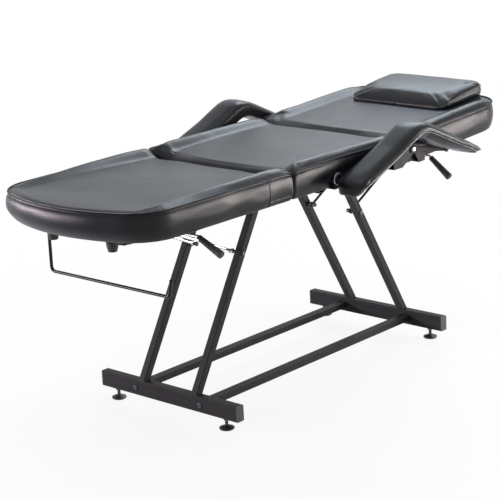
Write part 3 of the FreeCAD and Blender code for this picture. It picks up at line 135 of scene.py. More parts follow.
def leather(name, dark, light, rough_low, rough_high, grain=1.0, specular=0.2):
    """Smooth upholstery leather: fine pebbled grain, soft waves, a mottled tint and uneven gloss."""
    material, tree, bsdf = shader(name, Specular_IOR_Level=specular, Sheen_Weight=0.06,
                                  Sheen_Roughness=0.35, Sheen_Tint=(0.50, 0.72, 1.0, 1))
    spot = place_node(tree)
    broad = node(tree, "ShaderNodeTexNoise", Scale=7.0, Detail=4.0, Roughness=0.55)
    fine = node(tree, "ShaderNodeTexNoise", Scale=260.0, Detail=3.0, Roughness=0.6)
    pebble = node(tree, "ShaderNodeTexVoronoi", Scale=620.0, feature="F1")
    crease = node(tree, "ShaderNodeTexVoronoi", Scale=430.0, feature="DISTANCE_TO_EDGE")
    soft = node(tree, "ShaderNodeTexNoise", Scale=24.0, Detail=2.0, Roughness=0.5)
    for made in (broad, fine, pebble, crease, soft):
        tree.links.new(spot, made.inputs["Vector"])
    tint = ramp(tree, broad.outputs["Fac"], [(0.3, dark), (0.75, light)])
    mottle = ramp(tree, fine.outputs["Fac"], [(0.35, grey(0.86)), (0.7, grey(1.0))])
    mixed = node(tree, "ShaderNodeMix", data_type="RGBA", blend_type="MULTIPLY")
    mixed.inputs["Factor"].default_value = 1.0
    tree.links.new(tint, mixed.inputs["A"])
    tree.links.new(mottle, mixed.inputs["B"])
    tree.links.new(mixed.outputs["Result"], bsdf.inputs["Base Color"])
    gloss = ramp(tree, broad.outputs["Fac"], [(0.3, grey(rough_low)), (0.7, grey(rough_high))])
    tree.links.new(gloss, bsdf.inputs["Roughness"])
    edge = ramp(tree, crease.outputs["Distance"], [(0.0, grey(0.0)), (0.12, grey(1.0))])
    bumped(tree, bsdf, [(soft.outputs["Fac"], 0.10 * grain, 0.004),
                        (pebble.outputs["Distance"], 0.16 * grain, 0.0006),
                        (edge, 0.10 * grain, 0.0004)])
    return material


def paint(name, colour, rough, bump, edge_highlight, specular):
    """Powder coat or gloss paint: orange peel, slight unevenness and a painted highlight on convex edges."""
    material, tree, bsdf = shader(name, Specular_IOR_Level=specular)
    spot = place_node(tree)
    peel = node(tree, "ShaderNodeTexNoise", Scale=900.0, Detail=2.0, Roughness=0.5)
    broad = node(tree, "ShaderNodeTexNoise", Scale=11.0, Detail=3.0, Roughness=0.5)
    for made in (peel, broad):
        tree.links.new(spot, made.inputs["Vector"])
    # Convex edges, found by pointiness, get a lighter colour: a painted highlight along the edges.
    edge_finder = node(tree, "ShaderNodeNewGeometry")
    painted_edge_highlight = ramp(tree, edge_finder.outputs["Pointiness"], [(0.5, grey(0.0)), (0.62, grey(edge_highlight))])
    shade = tuple(v * 1.35 for v in colour)
    tint = ramp(tree, broad.outputs["Fac"], [(0.3, colour), (0.75, shade)])
    mixed = node(tree, "ShaderNodeMix", data_type="RGBA", blend_type="ADD")
    mixed.inputs["Factor"].default_value = 1.0
    tree.links.new(tint, mixed.inputs["A"])
    tree.links.new(painted_edge_highlight, mixed.inputs["B"])
    tree.links.new(mixed.outputs["Result"], bsdf.inputs["Base Color"])
    gloss = ramp(tree, broad.outputs["Fac"], [(0.25, grey(rough)), (0.8, grey(rough * 1.25))])
    tree.links.new(gloss, bsdf.inputs["Roughness"])
    bumped(tree, bsdf, [(peel.outputs["Fac"], bump, 0.0004)])
    return material


def steel(name, colour, rough, scratch):
    """Plated or brushed steel with fine turning marks."""
    material, tree, bsdf = shader(name, Metallic=1.0)
    spot = place_node(tree, (1, 1, 14))
    marks = node(tree, "ShaderNodeTexNoise", Scale=420.0, Detail=3.0, Roughness=0.6)
    broad = node(tree, "ShaderNodeTexNoise", Scale=30.0, Detail=2.0, Roughness=0.5)
    tree.links.new(spot, marks.inputs["Vector"])
    tree.links.new(place_node(tree), broad.inputs["Vector"])
    tint = ramp(tree, broad.outputs["Fac"], [(0.3, tuple(v * 0.8 for v in colour)), (0.7, colour)])
    tree.links.new(tint, bsdf.inputs["Base Color"])
    gloss = ramp(tree, marks.outputs["Fac"], [(0.3, grey(rough)), (0.7, grey(rough * 1.5))])
    tree.links.new(gloss, bsdf.inputs["Roughness"])
    bumped(tree, bsdf, [(marks.outputs["Fac"], scratch, 0.0003)])
    return material


def plastic(name, colour, rough, speckle):
    """Moulded rubber or plastic with a fine spark-eroded texture."""
    material, tree, bsdf = shader(name)
    spot = place_node(tree)
    grain = node(tree, "ShaderNodeTexNoise", Scale=1400.0, Detail=2.0, Roughness=0.7)
    broad = node(tree, "ShaderNodeTexNoise", Scale=45.0, Detail=3.0, Roughness=0.5)
    for made in (grain, broad):
        tree.links.new(spot, made.inputs["Vector"])
    tint = ramp(tree, broad.outputs["Fac"], [(0.3, colour), (0.8, tuple(v * 1.6 for v in colour))])
    tree.links.new(tint, bsdf.inputs["Base Color"])
    gloss = ramp(tree, broad.outputs["Fac"], [(0.3, grey(rough)), (0.8, grey(min(1.0, rough * 1.2)))])
    tree.links.new(gloss, bsdf.inputs["Roughness"])
    bumped(tree, bsdf, [(grain.outputs["Fac"], speckle, 0.0003)])
    return material


def plywood(name):
    """Stained plywood: long grain, darker lines and a dull varnish."""
    material, tree, bsdf = shader(name)
    long_grain = node(tree, "ShaderNodeTexNoise", Scale=60.0, Detail=5.0, Roughness=0.65)
    rings = node(tree, "ShaderNodeTexWave", Scale=9.0, Distortion=7.0, Detail=3.0)
    tree.links.new(place_node(tree, (1, 0.06, 1)), long_grain.inputs["Vector"])
    tree.links.new(place_node(tree, (1, 0.12, 1)), rings.inputs["Vector"])
    mixed = node(tree, "ShaderNodeMix", data_type="RGBA", blend_type="MULTIPLY")
    mixed.inputs["Factor"].default_value = 0.6
    stain = ramp(tree, long_grain.outputs["Fac"], [(0.3, (0.045, 0.032, 0.022)), (0.75, (0.11, 0.08, 0.055))])
    lines = ramp(tree, rings.outputs["Fac"], [(0.2, grey(0.55)), (0.8, grey(1.0))])
    tree.links.new(stain, mixed.inputs["A"])
    tree.links.new(lines, mixed.inputs["B"])
    tree.links.new(mixed.outputs["Result"], bsdf.inputs["Base Color"])
    bsdf.inputs["Roughness"].default_value = 0.62
    bumped(tree, bsdf, [(long_grain.outputs["Fac"], 0.25, 0.0006)])
    return material


BLACK_DYE, WORN_DYE = (0.006, 0.0066, 0.0085), (0.0095, 0.0105, 0.013)

LEATHER = leather("leather_black", BLACK_DYE, WORN_DYE, 0.30, 0.36)
PIPING = leather("leather_piping", (0.004, 0.0044, 0.0055), (0.007, 0.008, 0.010), 0.32, 0.38, 0.5, 0.1)
TRIM = leather("leather_trim", BLACK_DYE, (0.010, 0.011, 0.013), 0.24, 0.30, 0.5, 0.5)
# Pale grey thread: the stitches' light colour is a painted highlight along the seams.
THREAD_PAINTED_HIGHLIGHT = plastic("thread_painted_highlight", (0.55, 0.56, 0.58), 0.6, 0.1)
# In these two paints the fifth argument sets the strength of the painted edge highlight.
FRAME_PAINT = paint("satin_black_coat", (0.0042, 0.0044, 0.0052), 0.30, 0.2, 0.03, 0.03)
GLOSS_PAINT = paint("gloss_black_paint", (0.003, 0.003, 0.0035), 0.12, 0.05, 0.01, 0.2)
BRIGHT = steel("bright_zinc", (0.80, 0.81, 0.84), 0.24, 0.08)
DARK_STEEL = steel("black_oxide", (0.10, 0.10, 0.11), 0.34, 0.12)
RUBBER = plastic("rubber_black", (0.010, 0.010, 0.011), 0.62, 0.35)
MOULDED = plastic("plastic_black", (0.012, 0.012, 0.013), 0.42, 0.2)
BOARD = plywood("stained_plywood")

SLOT_MATERIALS = {"black_leather": LEATHER, "board_wood": BOARD, "black_rubber": RUBBER,
                  "black_plastic": MOULDED, "gloss_black_paint": GLOSS_PAINT, "bright_steel": BRIGHT,
                  "dark_steel": DARK_STEEL, "black_paint": FRAME_PAINT}


def dress_cad():
    slots = {part["node"]: part["material_slot"] for part in frame["record"]["subparts"]}
    for name, thing in frame["nodes"].items():
        thing.data.materials.clear()
        thing.data.materials.append(SLOT_MATERIALS[slots[name]])


# Mesh helpers. Soft pieces are worked out in millimetres in their section's own frame.

SEAT_ORIGIN = np.array((0.0, 25.0, 655.0))
LEG_HINGE = np.array((0.0, -228.0, 645.0))
BACK_HINGE = np.array((0.0, 349.0, 701.0))
BACK_TILT = math.radians(3.0)


def in_seat(points):
    return points + SEAT_ORIGIN


def in_leg(points):
    return points * (-1, -1, 1) + LEG_HINGE


def in_back(points):
    c, s = math.cos(BACK_TILT), math.sin(BACK_TILT)
    x, y, z = points.T
    return np.stack([x, y * c - z * s, y * s + z * c], 1) + BACK_HINGE


def leather_object(name, points, faces, material, body):
    """A smooth mesh of leather or thread, with the given material, that moves with a body."""
    data = bpy.data.meshes.new(name)
    data.from_pydata((points * MM).tolist(), [], faces)
    data.polygons.foreach_set("use_smooth", [True] * len(data.polygons))
    data.materials.append(material)
    data.update()
    made = bpy.data.objects.new(name, data)
    bpy.context.scene.collection.objects.link(made)
    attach(made, body)
    return made


def smooth_step(value):
    value = np.clip(value, 0, 1)
    return value * value * (3 - 2 * value)


def ring_faces(rings, count):
    """Quads between rings of points; the first and last ring are closed across x = 0."""
    faces = []
    for level in range(rings - 1):
        low, high = level * count, (level + 1) * count
        for i in range(count):
            j = (i + 1) % count
            faces.append((low + i, low + j, high + j, high + i))
    top = (rings - 1) * count
    for i in range(count // 2):
        j = i + 1
        a, b = (count - i) % count, count - j
        faces.append(tuple(dict.fromkeys((i, a, b, j))))
        faces.append(tuple(dict.fromkeys((top + i, top + j, top + b, top + a))))
    return faces


def band_faces(low, high, count):
    """Quads between two rings whose first points have the given numbers."""
    faces = []
    for i in range(count):
        j = (i + 1) % count
        faces.append((low + i, high + i, high + j, low + j))
    return faces


def apply_modifiers(thing):
    graph = bpy.context.evaluated_depsgraph_get()
    done = bpy.data.meshes.new_from_object(thing.evaluated_get(graph))
    old = thing.data
    thing.modifiers.clear()
    thing.data = done
    bpy.data.meshes.remove(old)
    thing.data.polygons.foreach_set("use_smooth", [True] * len(thing.data.polygons))


def subdivide(thing):
    modifier = thing.modifiers.new("fine", "SUBSURF")
    modifier.levels = modifier.render_levels = 1
    apply_modifiers(thing)


def vertex_rows(thing, field="co"):
    flat = np.empty(len(thing.data.vertices) * 3)
    thing.data.vertices.foreach_get(field, flat)
    return flat.reshape(-1, 3)


def set_coords(thing, points):
    thing.data.vertices.foreach_set("co", points.reshape(-1))
    thing.data.update()


CLOTH_FRAMES = 20
CLOTH_PRESSURE = 4.0
CLOTH_STIFFNESS = 15.0
CLOTH_BENDING = 0.6
CLOTH_MASS = 0.35
PIN_STEPS = 10


def puff(thing, held, cap):
    """Swells a closed mesh as cloth under pressure.

    held gives each point's share of pinning, and no point moves by more than cap millimetres.
    """
    start = vertex_rows(thing).copy()
    group = thing.vertex_groups.new(name="held")
    for level in range(1, PIN_STEPS + 1):
        share = level / PIN_STEPS
        members = np.nonzero(np.abs(held - share) < 0.5 / PIN_STEPS)[0]
        if len(members):
            group.add(members.tolist(), share, "REPLACE")
    modifier = thing.modifiers.new("cloth", "CLOTH")
    settings = modifier.settings
    settings.quality = 5
    settings.mass = CLOTH_MASS
    settings.tension_stiffness = settings.compression_stiffness = CLOTH_STIFFNESS
    settings.shear_stiffness = CLOTH_STIFFNESS / 2
    settings.bending_stiffness = CLOTH_BENDING
    settings.use_pressure = True
    settings.uniform_pressure_force = CLOTH_PRESSURE
    settings.vertex_group_mass = "held"
    settings.pin_stiffness = 1.0
    settings.effector_weights.gravity = 0.0
    modifier.collision_settings.use_self_collision = False
    modifier.point_cache.frame_start, modifier.point_cache.frame_end = 1, CLOTH_FRAMES
    scene = bpy.context.scene
    for step in range(1, CLOTH_FRAMES + 1):
        scene.frame_set(step)
    shaped = thing.evaluated_get(bpy.context.evaluated_depsgraph_get())
    flat = np.empty(len(start) * 3)
    shaped.to_mesh().vertices.foreach_get("co", flat)
    shaped.to_mesh_clear()
    thing.modifiers.clear()
    thing.vertex_groups.clear()
    scene.frame_set(1)
    moved = flat.reshape(-1, 3) - start
    length = np.linalg.norm(moved, axis=1, keepdims=True)
    moved *= np.where(length > 1e-9, np.minimum(length, cap * MM) / np.maximum(length, 1e-9), 0)
    set_coords(thing, start + moved)


def tube_mesh(path, radius, sides=10):
    """A round bead along a line of points, in millimetres, closed at both ends."""
    path = np.asarray(path)
    ahead = np.gradient(path, axis=0)
    ahead = ahead / np.linalg.norm(ahead, axis=1, keepdims=True)
    side = np.cross(ahead, (0, 0, 1.0))
    weak = np.linalg.norm(side, axis=1) < 0.05
    side[weak] = np.cross(ahead[weak], (1.0, 0, 0))
    side /= np.linalg.norm(side, axis=1, keepdims=True)
    up = np.cross(side, ahead)
    angles = np.linspace(0, 2 * math.pi, sides, endpoint=False)
    radius = np.broadcast_to(np.asarray(radius, float), (len(path),))[:, None, None]
    ring = side[:, None] * np.cos(angles)[None, :, None] + up[:, None] * np.sin(angles)[None, :, None]
    points = (path[:, None] + ring * radius).reshape(-1, 3)
    last = (len(path) - 1) * sides
    faces = []
    for low in range(0, last, sides):
        faces += band_faces(low, low + sides, sides)
    faces.append(tuple(range(sides)))
    faces.append(tuple(range(last, last + sides))[::-1])
    return points, faces


def joined(parts):
    points, faces, offset = [], [], 0
    for some, quads in parts:
        points.append(some)
        faces += [tuple(i + offset for i in quad) for quad in quads]
        offset += len(some)
    return np.concatenate(points), faces


def resampled(path, step):
    """Points every step millimetres along a line."""
    path = np.asarray(path)
    gaps = np.linalg.norm(np.diff(path, axis=0), axis=1)
    run = np.concatenate([[0], np.cumsum(gaps)])
    marks = np.linspace(0, run[-1], max(2, int(round(run[-1] / step)) + 1))
    return np.stack([np.interp(marks, run, path[:, i]) for i in range(3)], 1)


STITCH_POINTS = 6


def stitches(path, pitch, radius):
    """Short rounded thread segments along a line."""
    line = resampled(path, pitch / STITCH_POINTS)
    parts = []
    for start in range(0, len(line) - STITCH_POINTS, STITCH_POINTS):
        piece = line[start:start + STITCH_POINTS - 1]
        middle = (len(piece) - 1) / 2
        swell = np.sqrt(np.clip(1 - ((np.arange(len(piece)) - middle) / (middle + 0.6)) ** 2, 0.05, 1))
        parts.append(tube_mesh(piece, radius * swell, 5))
    return joined(parts)


RAY_START = 0.25


def on_surface(thing, points, way, out):
    """Moves points, in millimetres, along a direction onto a piece's surface, then back out a little."""
    data = thing.data
    faces = [tuple(face.vertices) for face in data.polygons]
    tree = BVHTree.FromPolygons([v.co for v in data.vertices], faces)
    way = Vector(way).normalized()
    found = []
    for point in points:
        place, _, _, _ = tree.ray_cast(Vector(point) * MM - way * RAY_START, way)
        if place is not None:
            found.append(np.array(place) / MM - np.array(way) * out)
    return np.array(found)


# Cushions

# Heights above the section's own base: the side seam, the flat middle and the bolster's crest
SEAM, MIDDLE, CREST = 87.0, 85.0, 101.0
CREST_IN, BOLSTER = 31.0, 76.0
HALF, SOFT_HALF = 310.0, 311.0
SIDE_INSET = 6.0
LEG_FLOOR = 10.0
NOSE_RADIUS = 46.0
# Points along the flat start, its corner, the side, the far corner and half of the far end
COUNTS = (26, 5, 74, 24, 26)
START_SKIP = COUNTS[0] + COUNTS[1]


class Outline:
    """A cushion's outline from above: a flat start, straight sides, round far corners, a bowed end."""

    def __init__(self, start, end, start_corner, end_radius, corner):
        self.start, self.end, self.start_corner = start, end, start_corner
        self.end_radius, self.corner = end_radius, corner

    def loop(self, side_in, end_in, start_in=0.0):
        """Points from mid start edge round +x and back, drawn in on each side, and its curves' facts."""
        half = HALF - side_in
        start, end = self.start + start_in, self.end - end_in
        big = end - self.end_radius
        reach = math.sqrt((self.end_radius - self.corner) ** 2 - (half - self.corner) ** 2)
        small = np.array((half - self.corner, big + reach))
        lean = math.atan2(reach, half - self.corner)
        c0 = self.start_corner
        n0, n1, n2, n3, n4 = COUNTS
        parts = []
        x = np.linspace(0, half - c0, n0, endpoint=False)
        parts.append(np.stack([x, np.full(n0, start)], 1))
        a = np.linspace(-math.pi / 2, 0, n1, endpoint=False)
        parts.append(np.stack([half - c0 + c0 * np.cos(a), start + c0 + c0 * np.sin(a)], 1))
        y = np.linspace(start + c0, small[1], n2, endpoint=False)
        parts.append(np.stack([np.full(n2, half), y], 1))
        a = np.linspace(0, lean, n3, endpoint=False)
        parts.append(small + self.corner * np.stack([np.cos(a), np.sin(a)], 1))
        a = np.linspace(lean, math.pi / 2, n4 + 1)
        parts.append(np.stack([self.end_radius * np.cos(a), big + self.end_radius * np.sin(a)], 1))
        right = np.concatenate(parts)
        left = right[-2:0:-1] * (-1, 1)
        return np.concatenate([right, left]), (half, big, small, lean)

    def inside(self, x, y, facts):
        """Distance from the seam: from the sides and the far end, not from the flat start."""
        half, big, small, lean = facts
        ax = np.abs(x)
        side = half - ax
        far = self.end_radius - np.hypot(ax, y - big)
        qx, qy = ax - small[0], y - small[1]
        round_corner = self.corner - np.hypot(qx, qy)
        in_corner = (qy > 0) & (np.arctan2(qy, np.maximum(qx, 1e-6)) < lean) & (qx > 0)
        return np.where(qy <= 0, side, np.where(in_corner, round_corner, np.minimum(far, side + 1e3)))


def side_share(rise):
    return np.interp(rise, (0, 0.08, 0.2, 0.38, 0.55, 0.75, 0.88, 0.95, 1.0),
                     (1.9, 1.1, 0.55, 0.12, 0.0, 0.08, 0.25, 1.15, 0.6))


def end_share(rise):
    return np.interp(rise, (0, 0.1, 0.25, 0.4, 0.55, 0.75, 0.88, 0.95, 1.0),
                     (1.0, 0.72, 0.40, 0.15, 0.06, 0.10, 0.20, 0.38, 0.33))


def bolster(u, width, height):
    """Height across a cushion, from its side seam inward: seam, crest, then the flat middle."""
    rise = np.sin(np.clip(u / CREST_IN, 0, 1) * math.pi / 2) ** 0.9
    fall = smooth_step((u - CREST_IN) / np.maximum(width - CREST_IN, 1))
    return np.where(u < CREST_IN, SEAM + (height - SEAM) * rise, height + (MIDDLE - height) * fall)


# Shares of the side band's height that have a ring, and the top's rings' distances from the seam
LEVELS = (0.0, 0.04, 0.1, 0.18, 0.28, 0.4, 0.52, 0.64, 0.76, 0.85, 0.9, 0.935, 0.965)
INWARD = (0, 2.5, 5, 8, 12, 17, 23, 30, 37, 44, 51, 58, 65, 72, 79, 90, 106, 126, 150, 178, 208, 240,
          272, 298)

# The board's recess: shares of its outline from its middle outward, with heights above the underside
RECESS = ((0.15, 13.0), (0.6, 12.6), (0.97, 12.6), (1.0, 12.0), (1.0, 1.5))
RECESS_TUCK = 34.0
# How far the lines that the recess and the top close on stay from the cushion's start and end
CORE_START, CORE_END = 200, 250
SPINE_START, SPINE_END = 150, 210


def cushion(shape, end_in, floor, top_height):
    """Rings from the board's recess out to the side band, up to the seam and in over the top."""
    loop, facts = shape.loop(SIDE_INSET * side_share(1.0), end_in * end_share(1.0))
    count = len(loop)
    rings = []
    seam_z = top_height(loop[:, 0], loop[:, 1], facts)
    board, _ = shape.loop(SIDE_INSET + RECESS_TUCK, end_in + RECESS_TUCK, RECESS_TUCK)
    core = np.clip(board[:, 1], shape.start + CORE_START, shape.end - CORE_END)
    centre = np.stack([np.zeros(count), core], 1)
    for scale, z in RECESS:
        ring = centre + (board - centre) * scale
        rings.append(np.column_stack([ring, np.full(count, floor + z)]))
    edge, _ = shape.loop(SIDE_INSET * 1.9 + 10, end_in + 14, 10)
    rings.append(np.column_stack([edge, np.full(count, floor + 0.2)]))
    for rise in LEVELS:
        start_in = np.interp(rise, (0, 0.12), (5.0, 0.0))
        ring, _ = shape.loop(SIDE_INSET * side_share(rise), end_in * end_share(rise), start_in)
        rings.append(np.column_stack([ring, floor + rise * (seam_z - floor)]))
    seam_level = len(rings)
    core = np.clip(loop[:, 1], shape.start + SPINE_START, shape.end - SPINE_END)
    spine = np.stack([np.zeros(count), core], 1)
    for distance in INWARD:
        ring = loop + (spine - loop) * (distance / (HALF + 2))
        rings.append(np.column_stack([ring, top_height(ring[:, 0], ring[:, 1], facts)]))
    return np.concatenate(rings), ring_faces(len(rings), count), count, seam_level


def roll(distance, radius):
    """How far a rounded edge drops below the flat, at a distance in from the end."""
    inside = np.clip(distance, 0, radius)
    return radius - np.sqrt(np.maximum(radius ** 2 - (radius - inside) ** 2, 0))


LEG = Outline(0.75, 691.0, 9.0, 585.0, 132.0)
SEAT = Outline(-252.25, 276.5, 9.0, 60000.0, 14.0)
BACK = Outline(-NOSE_RADIUS, 571.0, 6.0, 900.0, 120.0)
LEG_END_IN, BACK_END_IN = 33.0, 12.0
LEG_ROLL, SEAT_ROLL, SEAT_REAR_ROLL, CORNER_ROLL = 18.0, 22.0, 14.0, 22.0
GROOVE_DEPTH, GROOVE_PLACE, GROOVE_WIDTH = 2.2, 5.0, 4.0
DISH_HALF = 234


def dish(x, u, crown):
    """How far the middle sinks below the bolsters, with a shallow crown across it."""
    return 8 * smooth_step((u - 36) / 44) + crown * np.clip(1 - (x / DISH_HALF) ** 2, 0, 1)


def edge_rise(inside):
    return smooth_step(inside / 16.0)


def corner_roll(x):
    """A fold's rounded edge is softest where the bolsters end, and tight again at the side seam."""
    across = np.abs(x)
    return CORNER_ROLL * smooth_step((across - 100) / 150) * (1 - 0.8 * smooth_step((across - 268) / 32))


def groove(inside):
    """The shallow channel just inside the seam."""
    return -GROOVE_DEPTH * np.exp(-((inside - GROOVE_PLACE) / GROOVE_WIDTH) ** 2)


def leg_top(x, y, facts):
    """Leg cushion: a bolster starts at each foot corner and grows; the middle sinks towards the seat."""
    inside = LEG.inside(x, y, facts)
    u = facts[0] - np.abs(x)
    grown = smooth_step((LEG.end - 90 - y) / 360)
    started = smooth_step((LEG.end - 66 - y) / 34)
    width = 70 + 12 * grown
    height = 90 + (CREST - 90) * (0.4 * started + 0.6 * grown)
    sink = smooth_step((360 - y) / 330)
    middle = 90 - 5 * smooth_step((LEG.end - 40 - y) / 150)
    beside = 1 - smooth_step((u - CREST_IN) / (width - CREST_IN))
    shape = middle + (height - middle) * beside
    rise = np.sin(np.clip(inside / (16 + 15 * beside), 0, 1) * math.pi / 2) ** 0.9
    z = SEAM + (shape - SEAM) * rise + groove(inside)
    return LEG_FLOOR + z - sink * dish(x, u, 7) - roll(y - LEG.start, LEG_ROLL + corner_roll(x))


def seat_top(x, y, facts):
    """Seat cushion: its bolsters turn the corner into a low lip along the front edge."""
    u = facts[0] - np.abs(x)
    near_front = smooth_step((y - SEAT.start) / 90)
    near_rear = smooth_step((SEAT.end - y) / 70)
    width = BOLSTER + 10 * (1 - near_front) + 6 * (1 - near_rear)
    side = bolster(u, width, CREST - 2 * (1 - near_front) - 3 * (1 - near_rear)) - MIDDLE
    lip = 6.5 * smooth_step((78 - (y - SEAT.start)) / 52) * smooth_step((u - 20) / 60)
    rear = 3.0 * smooth_step((40 - (SEAT.end - y)) / 34) * smooth_step((u - 20) / 60)
    raised = np.where(side > 0, np.sqrt(np.maximum(side, 0) ** 2 + lip ** 2 + rear ** 2), side)
    sink = 0.35 + 0.65 * smooth_step((SEAT.start + 330 - y) / 300)
    z = SEAM + (MIDDLE + raised - SEAM) * edge_rise(u) + groove(u)
    front = roll(y - SEAT.start, SEAT_ROLL + corner_roll(x))
    return z - sink * dish(x, u, 2) - front - roll(SEAT.end - y, SEAT_REAR_ROLL)


def back_top(x, y, facts):
    """Back cushion: the bolsters fade in from the hinge and run out at the head end."""
    inside = BACK.inside(x, y, facts)
    u = facts[0] - np.abs(x)
    height = 92 + (CREST - 92) * smooth_step((y + 20) / 90)
    far = smooth_step((BACK.end - 40 - y) / 120)
    shape = SEAM + (bolster(u, BOLSTER + 6, height) - SEAM) * (0.25 + 0.75 * far)
    return SEAM + (shape - SEAM) * edge_rise(inside) + groove(inside) - NOSE_RADIUS


def bull_nose(points):
    """Rounds the back cushion's front edge about its hinge axis."""
    a = np.clip(points[:, 1] / NOSE_RADIUS, -1, 0)
    b = np.clip(points[:, 2] / NOSE_RADIUS, -1, 1)
    done = points.copy()
    front = points[:, 1] < 0
    done[front, 1] = (NOSE_RADIUS * a * np.sqrt(1 - b ** 2 / 2))[front]
    done[front, 2] = (NOSE_RADIUS * b * np.sqrt(1 - a ** 2 / 2))[front]
    return done


def pinned(size, count, seam_level, floor_rings):
    """Pin shares: the underside and the seam are held, and the rings beside the seam partly."""
    held = np.zeros(size)
    held[:floor_rings * count] = 1.0
    for level, share in ((seam_level - 1, 0.6), (seam_level, 1.0), (seam_level + 1, 0.6)):
        held[level * count:(level + 1) * count] = share
    return held


def creases(points, normals, seam_points, amount, pitch, reach):
    """Small gathers that fade away from the sewn seam."""
    tree = kdtree.KDTree(len(seam_points))
    for i, point in enumerate(seam_points):
        tree.insert(point, i)
    tree.balance()
    gaps = np.linalg.norm(np.diff(seam_points, axis=0, append=seam_points[:1]), axis=1)
    run = np.concatenate([[0], np.cumsum(gaps)])[:-1]
    phases = rng.uniform(0, 2 * math.pi, 3)
    out = np.zeros(len(points))
    for i, point in enumerate(points):
        _, j, distance = tree.find(point)
        if distance < reach:
            s = run[j]
            wave = math.sin(2 * math.pi * s / pitch + phases[0] + 1.3 * math.sin(s / 71 + phases[1]))
            wave *= 0.55 + 0.45 * math.sin(s / 133 + phases[2])
            out[i] = wave * amount * (1 - distance / reach) ** 2 * min(1.0, distance / 3)
    return points + normals * out[:, None]


def noise_field(points, scale, seed):
    """Smooth low-frequency unevenness from a few random waves."""
    local = np.random.default_rng(seed)
    total = np.zeros(len(points))
    for _ in range(9):
        direction = local.normal(size=3)
        direction /= np.linalg.norm(direction)
        length = scale * local.uniform(0.7, 1.5)
        total += np.sin(points @ direction * 2 * math.pi / length + local.uniform(0, 6.3))
    return total / 4.0


def finish_cushion(node_name, body, place, shaped, seed, y_limits=None, warp=None):
    """Makes a cushion's mesh, swells and creases it, and puts it in the place of its CAD node."""
    points, faces, count, seam_level = shaped
    if warp is not None:
        points = warp(points)
    seam = points[seam_level * count:(seam_level + 1) * count].copy()
    thing = leather_object(f"{node_name}_soft", place(points), faces, LEATHER, body)
    puff(thing, pinned(len(points), count, seam_level, 8), cap=3.0)
    world = vertex_rows(thing) / MM
    world = creases(world, vertex_rows(thing, "normal"), place(seam), amount=0.55, pitch=19.0, reach=26.0)
    set_coords(thing, world * MM)
    normals = vertex_rows(thing, "normal")
    side = np.clip(1.25 - 1.6 * np.abs(normals[:, 2]), 0, 1)
    uneven = noise_field(world, 210.0, seed) * (0.6 + 1.1 * side)
    uneven += noise_field(world, 74.0, seed + 50) * (0.18 + 0.5 * side)
    uneven[:7 * count] = 0.0
    world = world + normals * uneven[:, None]
    world[:, 0] = np.clip(world[:, 0], -SOFT_HALF, SOFT_HALF)
    if y_limits is not None:
        world[:, 1] = np.clip(world[:, 1], *y_limits)
    set_coords(thing, world * MM)
    subdivide(thing)
    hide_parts(node_name)
    return thing, seam


def seam_run(seam, count):
    """The seam's points from the flat start's corner round the far end to the other corner."""
    return seam[START_SKIP - 2:count - START_SKIP + 3]


def bead_object(name, path, radius, sides, material, body):
    bead, quads = tube_mesh(path, radius, sides)
    return leather_object(name, bead, quads, material, body)


def stitch_object(name, lines, pitch, radius, body):
    dashes, quads = joined([stitches(line, pitch, radius) for line in lines])
    # The stitches are pale grey, a painted highlight along the seam they follow.
    return leather_object(name, dashes, quads, THREAD_PAINTED_HIGHLIGHT, body)


def piping(name, path, place, body, outward=0.6, lift=1.2, material=PIPING):
    """A sewn-in bead that stands a little out of its seam."""
    away = path - path.mean(0)
    away[:, 2] = 0
    away /= np.maximum(np.linalg.norm(away, axis=1, keepdims=True), 1e-6)
    line = resampled(path + away * outward + (0, 0, lift), 5.0)
    bead, quads = tube_mesh(line, 2.4, 10)
    return leather_object(name, place(bead), quads, material, body)


LEG_GAP = 0.9
SEAT_LIMITS = (-252.1, 276.3)
END_STITCH_SPAN = (0.375, 0.655)
END_STITCH_CENTRE = (0.0, 300.0, 97.0)
FLAP_LENGTH, FLAP_START, FLAP_FOOT, FLAP_TOP = 110.0, 9.0, 17.0, 78.0
FLAP_RAY_START = 300


def make_leg_cushion():
    shaped = cushion(LEG, LEG_END_IN, LEG_FLOOR, leg_top)
    limits = (-np.inf, LEG_HINGE[1] - LEG_GAP)
    thing, seam = finish_cushion("leg_cushion", "leg_section", in_leg, shaped, 3, limits)
    run = seam_run(seam, shaped[2])
    piping("leg_cushion_piping", run, in_leg, "leg_section")
    make_end_stitches(run)
    for side in (1, -1):
        make_flap(thing, side)


def make_end_stitches(run):
    """Pale stitches along the seam's bead round the foot end: a painted highlight on the bead."""
    line = resampled(in_leg(run), 4.0)
    first, last = (int(len(line) * share) for share in END_STITCH_SPAN)
    line = line[first:last]
    inward = in_leg(np.array([END_STITCH_CENTRE]))[0] - line
    inward[:, 2] = 0
    inward /= np.linalg.norm(inward, axis=1, keepdims=True)
    stitch_object("leg_cushion_end_stitches", [line + inward * 0.8 + (0, 0, 3.4)], 9.0, 0.9, "leg_section")


def make_flap(thing, side):
    """A sewn side panel beside the seat: an upright welt at its end and topstitching round it."""
    way = (-side, 0, 0)
    x = side * FLAP_RAY_START
    floor, rear = LEG_HINGE[2] + LEG_FLOOR, LEG_HINGE[1]
    name = "left" if side > 0 else "right"
    upright = [(x, rear - FLAP_LENGTH, floor + z) for z in np.linspace(1.5, 84, 30)]
    welt = on_surface(thing, upright, way, out=-0.3)
    bead_object(f"leg_flap_welt_{name}", welt, 1.5, 8, PIPING, "leg_section")
    along = [(x, rear - y, floor + FLAP_FOOT) for y in np.linspace(FLAP_LENGTH - 5, FLAP_START, 40)]
    up = [(x, rear - FLAP_START, floor + z) for z in np.linspace(FLAP_FOOT + 3, FLAP_TOP, 24)]
    lines = [on_surface(thing, line, way, out=0.3) for line in (along, up)]
    stitch_object(f"leg_flap_stitches_{name}", lines, 6.5, 0.6, "leg_section")


